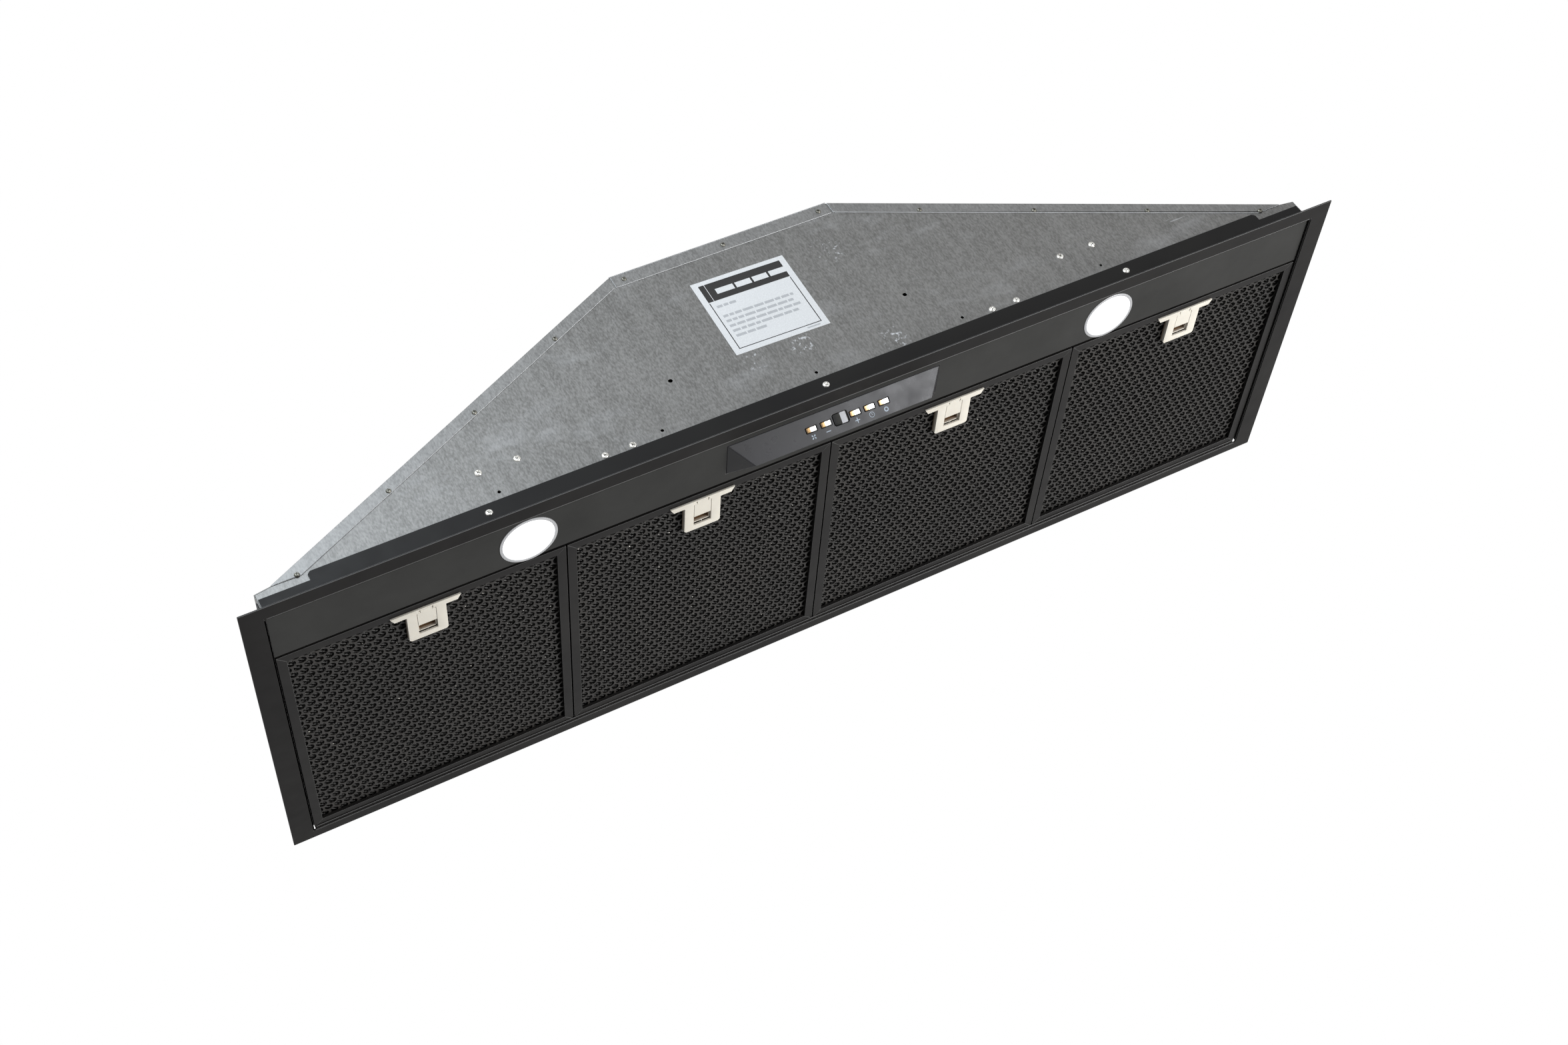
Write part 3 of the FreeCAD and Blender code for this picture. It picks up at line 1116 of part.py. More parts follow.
save("chassis_tray", *chassis_tray())
save("light_band", light_band())
save("front_panel", front_panel())
save("back_panel", end_panel(PANEL_BACK, INNER_BACK))
RIGHT_SIDE = side_panel()
save("right_side_panel", RIGHT_SIDE)
save("left_side_panel", mirror_x(RIGHT_SIDE))
save("top_panel", *top_panel())
save("flange_screws", *flange_screws())
save("chassis_screws", *chassis_screws())
save("bracket_screws", *bracket_screws())

save("blower_wrap", blower_wrap())
save("blower_side_left", blower_side(-1))
save("blower_side_right", blower_side(1))
save("motor_bracket", motor_bracket())
save("motor", motor())
save("motor_shaft", motor_shaft())
save("impeller", *impeller())

save("outlet_collar", outlet_collar())
save("outlet_screws", *outlet_screws())
save("damper_pin", damper_pin())
save("damper_flap_left", damper_flap(-1))
save("damper_flap_right", damper_flap(1))

save("junction_box", junction_box())
save("junction_box_lid", junction_box_lid())
save("terminal_block", terminal_block())
save("cable_gland", cable_gland())
save("run_capacitor", run_capacitor())
save("led_driver", led_driver())

save("control_housing", control_housing())
save("control_board", control_board())
save("display_window", display_window())
for name, x in zip(BUTTON_NAMES, BUTTON_X):
    save(name + "_button", button(x))

for name, x in (("left", -LAMP_X), ("right", LAMP_X)):
    save("lamp_body_" + name, lamp_body(x))
    save("lamp_lens_" + name, lamp_lens(x))

for number, x in enumerate(filter_centres(), start=1):
    save("filter_frame_%d" % number, filter_frame(x))
    save("filter_mesh_%d" % number, filter_mesh(x))
    save("latch_body_%d" % number, latch_body(x))
    save("latch_slider_%d" % number, latch_slider(x))
    save("latch_spring_%d" % number, latch_spring(x))
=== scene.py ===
import math
import random

import bmesh
import bpy
from mathutils import Matrix, Vector


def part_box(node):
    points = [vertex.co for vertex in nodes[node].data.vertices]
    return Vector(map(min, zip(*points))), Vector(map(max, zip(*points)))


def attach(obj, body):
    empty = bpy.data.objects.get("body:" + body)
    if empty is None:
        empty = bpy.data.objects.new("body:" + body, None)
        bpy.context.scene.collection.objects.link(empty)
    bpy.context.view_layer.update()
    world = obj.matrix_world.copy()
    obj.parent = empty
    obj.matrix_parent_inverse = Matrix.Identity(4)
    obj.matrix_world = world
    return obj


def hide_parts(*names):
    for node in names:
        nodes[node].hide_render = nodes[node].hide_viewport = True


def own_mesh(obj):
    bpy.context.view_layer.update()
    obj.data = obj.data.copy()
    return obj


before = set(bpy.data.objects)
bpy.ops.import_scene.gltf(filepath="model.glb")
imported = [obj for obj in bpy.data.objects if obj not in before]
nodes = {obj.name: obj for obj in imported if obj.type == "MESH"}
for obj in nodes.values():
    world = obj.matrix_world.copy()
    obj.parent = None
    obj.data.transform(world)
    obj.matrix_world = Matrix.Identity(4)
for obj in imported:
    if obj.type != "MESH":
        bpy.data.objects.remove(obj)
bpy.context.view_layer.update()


# ------------------------------------------------ camera, floor and light
# The hood is looked at from below, in front of it and to its left, with the camera rolled over.
# It hangs over a pale floor in a white room, lit by broad soft lamps, the one on the left cooler.
scene = bpy.context.scene
scene.view_settings.view_transform = "Standard"

EYE = Vector((-0.75197, -1.65378, -1.08819))
EYE_RIGHT = Vector((0.8733324, -0.0545834, -0.484057))
EYE_DOWN = Vector((-0.3512244, 0.6179976, -0.7033636))
camera = bpy.data.objects.new("camera", bpy.data.cameras.new("camera"))
scene.collection.objects.link(camera)
camera.data.sensor_fit = "HORIZONTAL"
camera.data.sensor_width = 36.0
camera.data.lens = 48.83
camera.data.clip_start = 0.05
axes = (EYE_RIGHT, -EYE_DOWN, -EYE_RIGHT.cross(EYE_DOWN))
camera.matrix_world = Matrix.Translation(EYE) @ Matrix(axes).transposed().to_4x4()
scene.camera = camera


class Signal:
    """One value in a node tree. Sums, differences, products and quotients of signals add the Math nodes."""

    def __init__(self, wiring, socket):
        self.wiring = wiring
        self.socket = socket

    def reckon(self, operation, first, second=0.0):
        return self.wiring.node("ShaderNodeMath", {"operation": operation}, {0: first, 1: second})

    def __add__(self, other):
        return self.reckon("ADD", self, other)

    def __radd__(self, other):
        return self.reckon("ADD", other, self)

    def __sub__(self, other):
        return self.reckon("SUBTRACT", self, other)

    def __rsub__(self, other):
        return self.reckon("SUBTRACT", other, self)

    def __mul__(self, other):
        return self.reckon("MULTIPLY", self, other)

    def __rmul__(self, other):
        return self.reckon("MULTIPLY", other, self)

    def __truediv__(self, other):
        return self.reckon("DIVIDE", self, other)

    def __rtruediv__(self, other):
        return self.reckon("DIVIDE", other, self)

    def __gt__(self, other):
        return self.reckon("GREATER_THAN", self, other)

    def __lt__(self, other):
        return self.reckon("LESS_THAN", self, other)


class Wiring:
    """Adds nodes to one node tree and joins them up."""

    def __init__(self, tree):
        self.tree = tree

    def node(self, kind, settings=None, sockets=None, output=0):
        """Adds a node, gives it its settings, then its sockets' values or links. Returns one output."""
        made = self.tree.nodes.new(kind)
        for name, value in (settings or {}).items():
            if name == "stops":
                ramp = made.color_ramp
                while len(ramp.elements) < len(value):
                    ramp.elements.new(1.0)
                for element, (position, color) in zip(ramp.elements, value):
                    element.position = position
                    element.color = color
            else:
                setattr(made, name, value)
        for key, value in (sockets or {}).items():
            self.feed(made.inputs[key], value)
        return Signal(self, made.outputs[output])

    def part(self, vector, axis):
        """The x, y or z of a vector, as axis 0, 1 or 2."""
        return self.node("ShaderNodeSeparateXYZ", {}, {0: vector}, output=axis)

    def feed(self, socket, value):
        if isinstance(value, Signal):
            self.tree.links.new(value.socket, socket)
        else:
            socket.default_value = value


def seen_by(wiring, *rays):
    """1 where a ray of one of these kinds falls, else 0."""
    seen = 0.0
    for ray in rays:
        seen = wiring.node("ShaderNodeLightPath", output=ray) + seen
    return seen.reckon("MINIMUM", seen, 1.0)


# white where it is seen directly, in metal or through glass; only a soft fill where it lights
ROOM_FILL = 0.36
world = bpy.data.worlds.new("white room")
world.use_nodes = True
scene.world = world
room = Wiring(world.node_tree)
seen = seen_by(room, "Is Camera Ray", "Is Glossy Ray", "Is Transmission Ray")
sky = world.node_tree.nodes["Background"].inputs
room.feed(sky["Color"], (1.0, 1.0, 1.0, 1.0))
room.feed(sky["Strength"], ROOM_FILL + seen * (1.0 - ROOM_FILL))

FLOOR_Z = -3.4
FLOOR_HALF = 150.0
FLOOR_GLOW = 0.75
floor_mesh = bpy.data.meshes.new("floor")
floor_mesh.from_pydata([(x * FLOOR_HALF, y * FLOOR_HALF, FLOOR_Z)
                        for x, y in ((-1, -1), (1, -1), (1, 1), (-1, 1))], [], [(0, 1, 2, 3)])
floor = bpy.data.objects.new("floor", floor_mesh)
scene.collection.objects.link(floor)
floor_paint = bpy.data.materials.new("pale floor")
floor_paint.use_nodes = True
floor_wiring = Wiring(floor_paint.node_tree)
floor_shader = floor_paint.node_tree.nodes["Principled BSDF"]
floor_shader.inputs["Base Color"].default_value = (0.82, 0.82, 0.82, 1.0)
floor_shader.inputs["Roughness"].default_value = 0.9
seen = seen_by(floor_wiring, "Is Camera Ray", "Is Glossy Ray")
glow = floor_wiring.node("ShaderNodeEmission", {}, {"Color": (1.0, 1.0, 1.0, 1.0), "Strength": 1.0})
mixed = floor_wiring.node("ShaderNodeMixShader", {}, {
    "Fac": seen * FLOOR_GLOW, 1: Signal(floor_wiring, floor_shader.outputs[0]), 2: glow})
floor_wiring.feed(floor_paint.node_tree.nodes["Material Output"].inputs["Surface"], mixed)
floor_mesh.materials.append(floor_paint)

# each lamp's name, place, width, power and colour; all of them face the hood
TARGET = Vector((0.0, 0.0, 0.05))
LAMPS = (("key", (-0.62, -1.4, 0.62), 1.0, 27.0, (0.83, 0.92, 1.0)),
         ("below", (1.65, -0.5, -2.05), 1.8, 100.0, (1.0, 0.985, 0.965)),
         ("edge", (1.12, -1.7, -1.2), 0.6, 14.0, (0.96, 0.97, 1.0)),
         ("above", (0.9, 2.0, 2.9), 2.4, 150.0, (1.0, 1.0, 1.0)))
for name, place, size, power, color in LAMPS:
    lamp = bpy.data.objects.new(name, bpy.data.lights.new(name, "AREA"))
    lamp.data.shape = "DISK"
    lamp.data.size = size
    lamp.data.energy = power
    lamp.data.color = color
    lamp.location = place
    lamp.visible_camera = False
    lamp.rotation_mode = "QUATERNION"
    lamp.rotation_quaternion = (TARGET - Vector(place)).to_track_quat("-Z", "Y")
    scene.collection.objects.link(lamp)


# ------------------------------------------------ face plate and chassis
# A flat steel plate that lies under the cabinet, with wall strips standing round its opening.
# Cut from 1.5 and 1 mm sheet, spot welded, and powder coated satin black all over.

def tint(red, green, blue):
    """A colour given as it looks on a screen, 0 to 255."""
    return tuple((c / 255.0 / 12.92 if c < 10.3 else ((c / 255.0 + 0.055) / 1.055) ** 2.4)
                 for c in (red, green, blue)) + (1.0,)


class Finish(Wiring):
    """A surface finish: a Principled shader whose patterns lie in the piece's own coordinates."""

    def __init__(self, name, **fixed):
        self.material = bpy.data.materials.new(name)
        self.material.use_nodes = True
        super().__init__(self.material.node_tree)
        self.shader = self.material.node_tree.nodes["Principled BSDF"]
        self.place = self.node("ShaderNodeTexCoord", output="Object")
        for label, value in fixed.items():
            self.set(label.replace("_", " "), value)

    def set(self, label, value):
        self.feed(self.shader.inputs[label], value)

    def stretched(self, scale, turn=(0.0, 0.0, 0.0)):
        return self.node("ShaderNodeMapping", {}, {"Vector": self.place, "Scale": scale, "Rotation": turn})

    def noise(self, scale, detail=2.0, roughness=0.5, place=None):
        return self.node("ShaderNodeTexNoise", {}, {"Vector": place or self.place, "Scale": scale,
                                                    "Detail": detail, "Roughness": roughness})

    def spread(self, signal, low, high, to_low=0.0, to_high=1.0):
        return self.node("ShaderNodeMapRange", {}, {"Value": signal, "From Min": low, "From Max": high,
                                                    "To Min": to_low, "To Max": to_high})

    def mix(self, share, first, second):
        return self.node("ShaderNodeMix", {"data_type": "RGBA"}, {0: share, 6: first, 7: second}, output=2)

    def along(self, axis):
        return self.part(self.place, "XYZ".index(axis))

    def turned(self):
        """How far the surface turns from the piece's own axes: 0 on its flat faces, more over its folds."""
        facing = self.node("ShaderNodeTexCoord", output="Normal")
        most = 0.0
        for axis in range(3):
            share = self.part(facing, axis)
            most = share.reckon("MAXIMUM", share.reckon("ABSOLUTE", share), most)
        return 1.0 - most

    def bump(self, height, depth, strength=1.0):
        self.set("Normal", self.node("ShaderNodeBump", {}, {"Height": height, "Distance": depth,
                                                            "Strength": strength}))


FOLD_HIGHLIGHT_TURN = (0.03, 0.16)


def black_coat(name, dark, light, peel=0.000012, rough=0.5, shine=0.12, polished=None):
    """Satin powder coat: faintly cloudy, with a fine orange peel, and a painted pale highlight over its
    folds.
    """
    coat = Finish(name, Specular_IOR_Level=shine)
    cloud = coat.noise(9.0, 3.0)
    grain = coat.noise(1500.0, 2.0)
    shade = coat.spread(cloud * 0.85 + grain * 0.15, 0.35, 0.65)
    color = coat.mix(shade, dark, light)
    # painted highlight: the colour turns pale grey where the surface turns over its rounded folds, standing
    # for light caught on them
    if polished is not None:
        color = coat.mix(coat.spread(coat.turned(), *FOLD_HIGHLIGHT_TURN), color, polished)
    coat.set("Base Color", color)
    coat.set("Roughness", coat.spread(coat.noise(60.0, 3.0), 0.3, 0.7, rough - 0.05, rough + 0.05))
    coat.bump(coat.noise(1100.0, 1.0), peel)
    return coat.material


WELD = 0.000002


def as_piece(name, shape):
    """Makes an object of a finished shape."""
    mesh = bpy.data.meshes.new(name)
    shape.to_mesh(mesh)
    shape.free()
    piece = bpy.data.objects.new(name, mesh)
    scene.collection.objects.link(piece)
    return piece


def eased(node, width, finish, body, steps=2):
    """A copy of a CAD piece with its sharp edges rounded over, which stands for that piece."""
    shape = bmesh.new()
    shape.from_mesh(nodes[node].data)
    bmesh.ops.remove_doubles(shape, verts=shape.verts, dist=WELD)
    bmesh.ops.dissolve_limit(shape, angle_limit=math.radians(1.0), verts=shape.verts, edges=shape.edges)
    piece = as_piece(node + "_skin", shape)
    round_over(piece, width, steps)
    dress(piece, finish, body)
    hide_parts(node)
    return piece


def round_over(piece, width, steps, sharpest=35.0):
    """Rounds the sharp edges of a piece, while its flat faces stay flat to the light."""
    piece.data.shade_smooth()
    edge = piece.modifiers.new("rounded edges", "BEVEL")
    edge.width = width
    edge.segments = steps
    edge.limit_method = "ANGLE"
    edge.angle_limit = math.radians(sharpest)
    edge.use_clamp_overlap = False
    flat = piece.modifiers.new("flat faces", "WEIGHTED_NORMAL")
    flat.mode = "FACE_AREA"
    flat.weight = 100
    made_plain(piece)


def made_plain(piece):
    """Turns a piece and its modifiers into a plain mesh."""
    graph = bpy.context.evaluated_depsgraph_get()
    mesh = bpy.data.meshes.new_from_object(piece.evaluated_get(graph))
    piece.modifiers.clear()
    piece.data = mesh


def shade(mesh):
    """Shades a mesh smooth except over its sharp edges."""
    mesh.shade_smooth()
    mesh.set_sharp_from_angle(angle=math.radians(38.0))


def dress(piece, finish, body):
    """Gives a piece its finish and the body it moves with."""
    if finish is not None:
        piece.data.materials.clear()
        piece.data.materials.append(finish)
    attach(piece, body)


# pale grey of the painted highlight over the black coat's folds
FOLD_HIGHLIGHT_GREY = tint(90, 90, 90)
plate_black = black_coat("plate black", tint(17, 16, 16), tint(24, 23, 22), polished=FOLD_HIGHLIGHT_GREY)
band_black = black_coat("band black", tint(36, 36, 35), tint(44, 44, 43), polished=FOLD_HIGHLIGHT_GREY)
eased("chassis_tray", 0.00055, plate_black, "hood")
eased("light_band", 0.00042, band_black, "hood")


# ------------------------------------------------ galvanised housing
# The roof-shaped housing of 0.8 mm hot-dip galvanised sheet: front and back panels between folded
# side panels, and a top panel. The zinc shows a fine grain, rub marks and pale scuffs from handling.
PANEL_FACE_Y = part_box("front_panel")[0].y
EDGE_HIGHLIGHT_DEPTH = 0.0001
EDGE_HIGHLIGHT_FACING = -0.7
FLANGE_PAINTED_LIGHT = 0.05
MOST_MARKED = 0.85


def galvanised(name, pale, dark, rubbed=()):
    """Zinc with drawn-out flecks, soft clouds, scratches and rubbed spots, and a painted highlight on its
    flanges' cut edges.
    """
    zinc = Finish(name, Specular_IOR_Level=0.4)
    fleck = zinc.noise(620.0, 2.0, 0.6, zinc.stretched((1.0, 1.0, 0.42)))
    cloud = zinc.noise(6.0, 3.0, 0.55)
    roll = zinc.noise(120.0, 3.0, 0.6, zinc.stretched((1.0, 1.0, 0.12)))
    shade = fleck * 0.6 + cloud * 0.15 + roll * 0.25
    base = zinc.mix(zinc.spread(shade, 0.38, 0.62), dark, pale)
    line = zinc.noise(34.0, 4.0, 0.6, zinc.stretched((0.35, 1.0, 3.4), (0.0, 0.4, 0.0)))
    scratch = zinc.spread(line, 0.7, 0.75) * zinc.spread(zinc.noise(7.0, 2.0), 0.52, 0.6)
    smear = zinc.noise(11.0, 4.0, 0.65, zinc.stretched((1.0, 1.0, 2.2), (0.0, 0.5, 0.0)))
    haze = zinc.spread(smear, 0.55, 0.8)
    marks_and_highlight = scratch * 0.5 + haze * 0.14
    speck = zinc.spread(zinc.noise(210.0, 3.0, 0.6), 0.58, 0.68)
    for spot, reach in rubbed:
        away = zinc.node("ShaderNodeVectorMath", {"operation": "DISTANCE"}, {0: zinc.place, 1: spot},
                         output="Value")
        marks_and_highlight = marks_and_highlight + zinc.spread(away, reach, reach * 0.2) * speck * 0.8
    # painted highlight: the flanges lying over the front panel are painted a little paler, and their cut
    # edges, which do not face the front, near white, standing for light caught on them; it joins the real
    # scratches and rub marks
    facing = zinc.part(zinc.node("ShaderNodeNewGeometry", output="Normal"), 1)
    flange = zinc.along("Y") < (PANEL_FACE_Y - EDGE_HIGHLIGHT_DEPTH)
    edge_highlight = flange * (FLANGE_PAINTED_LIGHT + (facing > EDGE_HIGHLIGHT_FACING) * (1.0 - FLANGE_PAINTED_LIGHT))
    marks_and_highlight = marks_and_highlight.reckon("MINIMUM", marks_and_highlight, MOST_MARKED)
    marks_and_highlight = marks_and_highlight.reckon("MAXIMUM", marks_and_highlight, edge_highlight)
    zinc.set("Base Color", zinc.mix(marks_and_highlight, base, tint(206, 208, 211)))
    zinc.set("Metallic", 0.55 - marks_and_highlight * 0.45)
    zinc.set("Roughness", zinc.spread(fleck, 0.3, 0.7, 0.4, 0.5))
    zinc.bump(fleck * 0.7 + roll * 0.3, 0.000006)
    return zinc.material


RUBBED = (((0.0060, PANEL_FACE_Y, 0.0760), 0.018), ((-0.0440, PANEL_FACE_Y, 0.0760), 0.014),
          ((0.0900, PANEL_FACE_Y, 0.0420), 0.022), ((0.0900, PANEL_FACE_Y, 0.1750), 0.020))
zinc_sheet = galvanised("galvanised sheet", tint(118, 117, 115), tint(90, 89, 87), RUBBED)
for node in ("front_panel", "back_panel", "left_side_panel", "right_side_panel", "top_panel"):
    eased(node, 0.0003, zinc_sheet, "hood")


# ------------------------------------------------ screws
# Zinc plated sheet-metal screws with a domed head and a cross recess: small ones along the housing's
# folds, larger pan heads through the black wall strips, the front panel and the outlet's flange.

class Pattern(Wiring):
    """A geometry node tree, built once and grown into each piece that needs it. Its named inputs are
    numbers, and others of a stated kind."""

    def __init__(self, name, numbers, others):
        super().__init__(bpy.data.node_groups.new(name, "GeometryNodeTree"))
        sockets = self.tree.interface
        sockets.new_socket("Geometry", in_out="INPUT", socket_type="NodeSocketGeometry")
        sockets.new_socket("Geometry", in_out="OUTPUT", socket_type="NodeSocketGeometry")
        kinds = dict(dict.fromkeys(numbers, "Float"), **others, Finish="Material")
        for label, kind in kinds.items():
            sockets.new_socket(label, in_out="INPUT", socket_type="NodeSocket" + kind)
        self.entry = self.tree.nodes.new("NodeGroupInput")
        self.exit = self.tree.nodes.new("NodeGroupOutput")

    def given(self, label):
        return Signal(self, self.entry.outputs[label])

    def vector(self, x=0.0, y=0.0, z=0.0):
        return self.node("ShaderNodeCombineXYZ", {}, {0: x, 1: y, 2: z})

    def join(self, *parts):
        joined = self.tree.nodes.new("GeometryNodeJoinGeometry")
        for part in reversed(parts):
            self.tree.links.new(part.socket, joined.inputs[0])
        return Signal(self, joined.outputs[0])

    def moved(self, geometry, offset):
        return self.node("GeometryNodeTransform", {}, {"Geometry": geometry, "Translation": offset})

    def end(self, geometry):
        real = self.node("GeometryNodeRealizeInstances", {}, {0: geometry})
        painted = self.node("GeometryNodeSetMaterial", {}, {
            "Geometry": real, "Material": self.given("Finish")})
        self.feed(self.exit.inputs[0], painted)

    def grow(self, name, values, finish, mesh=None):
        """Makes a piece from the tree, as a plain mesh."""
        piece = bpy.data.objects.new(name, mesh or bpy.data.meshes.new(name))
        scene.collection.objects.link(piece)
        modifier = piece.modifiers.new("pattern", "NODES")
        modifier.node_group = self.tree
        given = dict(values, Finish=finish)
        for item in self.tree.interface.items_tree:
            if item.in_out == "INPUT" and item.name in given:
                modifier[item.identifier] = given[item.name]
        made_plain(piece)
        shade(piece.data)
        piece.data.name = name
        return piece


def screw_pattern():
    """A domed head with a cross recess and a tapered shank, at each point, turned by chance."""
    tree = Pattern("domed screws", ("Head Radius", "Head Height", "Shank Radius", "Shank Length", "Recess"),
                   {"Seed": "Int"})
    radius = tree.given("Head Radius")
    height = tree.given("Head Height")
    ball = tree.node("GeometryNodeMeshUVSphere", {}, {"Segments": 20, "Rings": 14, "Radius": 1.0})
    place = tree.node("GeometryNodeInputPosition")
    x, y, z = (tree.part(place, axis) for axis in range(3))
    dome_z = z.reckon("MAXIMUM", z, 0.0)
    dome_z = dome_z.reckon("MINIMUM", dome_z * 1.25, 1.0)
    dome = tree.node("GeometryNodeSetPosition", {}, {
        "Geometry": ball, "Position": tree.vector(x * radius, y * radius, dome_z * height)})
    recess = tree.given("Recess")
    arm = tree.node("GeometryNodeMeshCube", {}, {"Size": tree.vector(radius * 1.15, recess, height)})
    cross = tree.node("GeometryNodeMeshCube", {}, {"Size": tree.vector(recess, radius * 1.15, height)})
    raised = tree.vector(0.0, 0.0, height * 0.95)
    for cutter in (tree.moved(arm, raised), tree.moved(cross, raised)):
        cut = tree.tree.nodes.new("GeometryNodeMeshBoolean")
        cut.operation = "DIFFERENCE"
        tree.feed(cut.inputs["Mesh 1"], dome)
        tree.feed(cut.inputs["Mesh 2"], cutter)
        dome = Signal(tree, cut.outputs["Mesh"])
    length = tree.given("Shank Length")
    thick = tree.given("Shank Radius")
    shank = tree.node("GeometryNodeMeshCone", {}, {
        "Vertices": 16, "Radius Top": thick, "Radius Bottom": thick * 0.8, "Depth": length})
    screw = tree.join(dome, tree.moved(shank, tree.vector(0.0, 0.0, length * -1.0)))
    axis = tree.node("GeometryNodeInputNamedAttribute", {"data_type": "FLOAT_VECTOR"}, {"Name": "axis"})
    turn = tree.node("FunctionNodeAlignRotationToVector", {"axis": "Z"}, {"Vector": axis})
    spin = tree.node("FunctionNodeRandomValue", {"data_type": "FLOAT"}, {
        2: 0.0, 3: math.pi, "Seed": tree.given("Seed")}, output=1)
    spin = tree.node("FunctionNodeAxisAngleToRotation", {}, {"Axis": (0.0, 0.0, 1.0), "Angle": spin})
    turned = tree.node("FunctionNodeRotateRotation", {"rotation_space": "LOCAL"}, {
        "Rotation": turn, "Rotate By": spin})
    placed = tree.node("GeometryNodeInstanceOnPoints", {}, {
        "Points": tree.given("Geometry"), "Instance": screw, "Rotation": turned})
    tree.end(placed)
    return tree


def loose_parts(node):
    """The separate solids of a CAD node, each as the list of its vertices."""
    shape = bmesh.new()
    shape.from_mesh(nodes[node].data)
    bmesh.ops.remove_doubles(shape, verts=shape.verts, dist=WELD)
    left = set(shape.verts)
    parts = []
    while left:
        reached = [left.pop()]
        for vert in reached:
            for edge in vert.link_edges:
                other = edge.other_vert(vert)
                if other in left:
                    left.remove(other)
                    reached.append(other)
        parts.append([vert.co.copy() for vert in reached])
    shape.free()
    return parts


def seats(node, axis, head_height):
    """The seat point and outward direction of each screw of a node, whose shanks all lie along one axis."""
    found = []
    for part in loose_parts(node):
        low = Vector([min(p[k] for p in part) for k in range(3)])
        high = Vector([max(p[k] for p in part) for k in range(3)])
        middle = (low + high) / 2
        wide = max(part, key=lambda p: sum((p[k] - middle[k]) ** 2 for k in range(3) if k != axis))
        outward = Vector((0.0, 0.0, 0.0))
        outward[axis] = 1.0 if wide[axis] > middle[axis] else -1.0
        seat = middle.copy()
        seat[axis] = high[axis] - head_height if outward[axis] > 0 else low[axis] + head_height
        found.append((seat, outward))
    return sorted(found, key=lambda pair: tuple(pair[0]))


def plated(name, dark, light, rough):
    """Zinc plating on a screw head, with stains in it."""
    zinc = Finish(name, Metallic=0.9)
    stain = zinc.noise(420.0, 3.0, 0.6)
    zinc.set("Base Color", zinc.mix(zinc.spread(stain, 0.35, 0.65), dark, light))
    zinc.set("Roughness", zinc.spread(zinc.noise(900.0, 2.0), 0.3, 0.7, rough, rough + 0.16))
    zinc.bump(zinc.noise(1600.0, 2.0), 0.00001)
    return zinc.material


HEAD_HEIGHT = 0.0016
SHANK_LENGTH = 0.0048
screws = screw_pattern()
bright = plated("bright zinc plating", tint(186, 184, 179), tint(240, 239, 234), 0.16)
dull = plated("dull zinc plating", tint(92, 91, 84), tint(134, 132, 124), 0.36)
SMALL_DOME = (0.0026, 0.0014, 0.0008, dull)
PAN_HEAD = (0.0037, 0.002, 0.0012, bright)
SCREW_SETS = (("flange_screws", 1, SMALL_DOME), ("chassis_screws", 1, PAN_HEAD),
              ("bracket_screws", 1, PAN_HEAD), ("outlet_screws", 2, PAN_HEAD))
for number, (node, axis, (head, shank, recess, plating)) in enumerate(SCREW_SETS):
    points = bpy.data.meshes.new(node)
    places = seats(node, axis, HEAD_HEIGHT)
    points.from_pydata([seat for seat, _ in places], [], [])
    outward = points.attributes.new("axis", "FLOAT_VECTOR", "POINT")
    for index, (_, direction) in enumerate(places):
        outward.data[index].vector = direction
    piece = screws.grow(node + "_heads", {
        "Head Radius": head, "Head Height": HEAD_HEIGHT, "Shank Radius": shank, "Shank Length": SHANK_LENGTH,
        "Recess": recess, "Seed": number}, plating, points)
    dress(piece, None, "hood")
    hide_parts(node)


# ------------------------------------------------ sticker on the front panel
# A square paper notice stuck a little askew on the front panel: a dark heading bar, a thin frame
# line and rows of pale print, shown as plain bars with nothing to read.
STICKER_X = -0.0056
STICKER_Z = 0.1397
STICKER_HALF = 0.0505
STICKER_TURN = math.radians(-1.4)
PAPER = 0.00012
INK = 0.00004
MARGIN = 0.0062
INNER = STICKER_HALF - MARGIN
HEADING = 0.0236
RULE = 0.0009
FIRST_ROW = 0.0072
ROW_PITCH = 0.0069
ROW_HALF = 0.0016
ROW_INSET = 0.005
ROWS_FILLED = (0.28, 0.0, 0.96, 0.93, 0.97, 0.9, 0.42)


def sticker_bar(shape, left, right, low, high, front, back, index):
    """A flat bar of the sticker, in its own upright coordinates, with its own material index."""
    turn = Matrix.Rotation(-STICKER_TURN, 3, "Y")
    corners = []
    for y in (PANEL_FACE_Y - front, PANEL_FACE_Y - back):
        for x, z in ((left, low), (right, low), (right, high), (left, high)):
            flat = turn @ Vector((x, 0.0, z))
            corners.append(shape.verts.new((STICKER_X + flat.x, y, STICKER_Z + flat.z)))
    for quad in ((0, 1, 2, 3), (7, 6, 5, 4), (0, 4, 5, 1), (1, 5, 6, 2), (2, 6, 7, 3), (3, 7, 4, 0)):
        shape.faces.new([corners[k] for k in quad]).material_index = index


def printed(name, color, rough):
    ink = Finish(name, Specular_IOR_Level=0.35)
    speck = ink.noise(900.0, 3.0)
    faded = tuple(min(1.0, c * 1.12 + 0.004) for c in color[:3]) + (1.0,)
    ink.set("Base Color", ink.mix(ink.spread(speck, 0.35, 0.65), color, faded))
    ink.set("Roughness", ink.spread(ink.noise(300.0, 2.0), 0.3, 0.7, rough - 0.06, rough + 0.06))
    ink.bump(ink.noise(500.0, 3.0), 0.000015)
    return ink.material


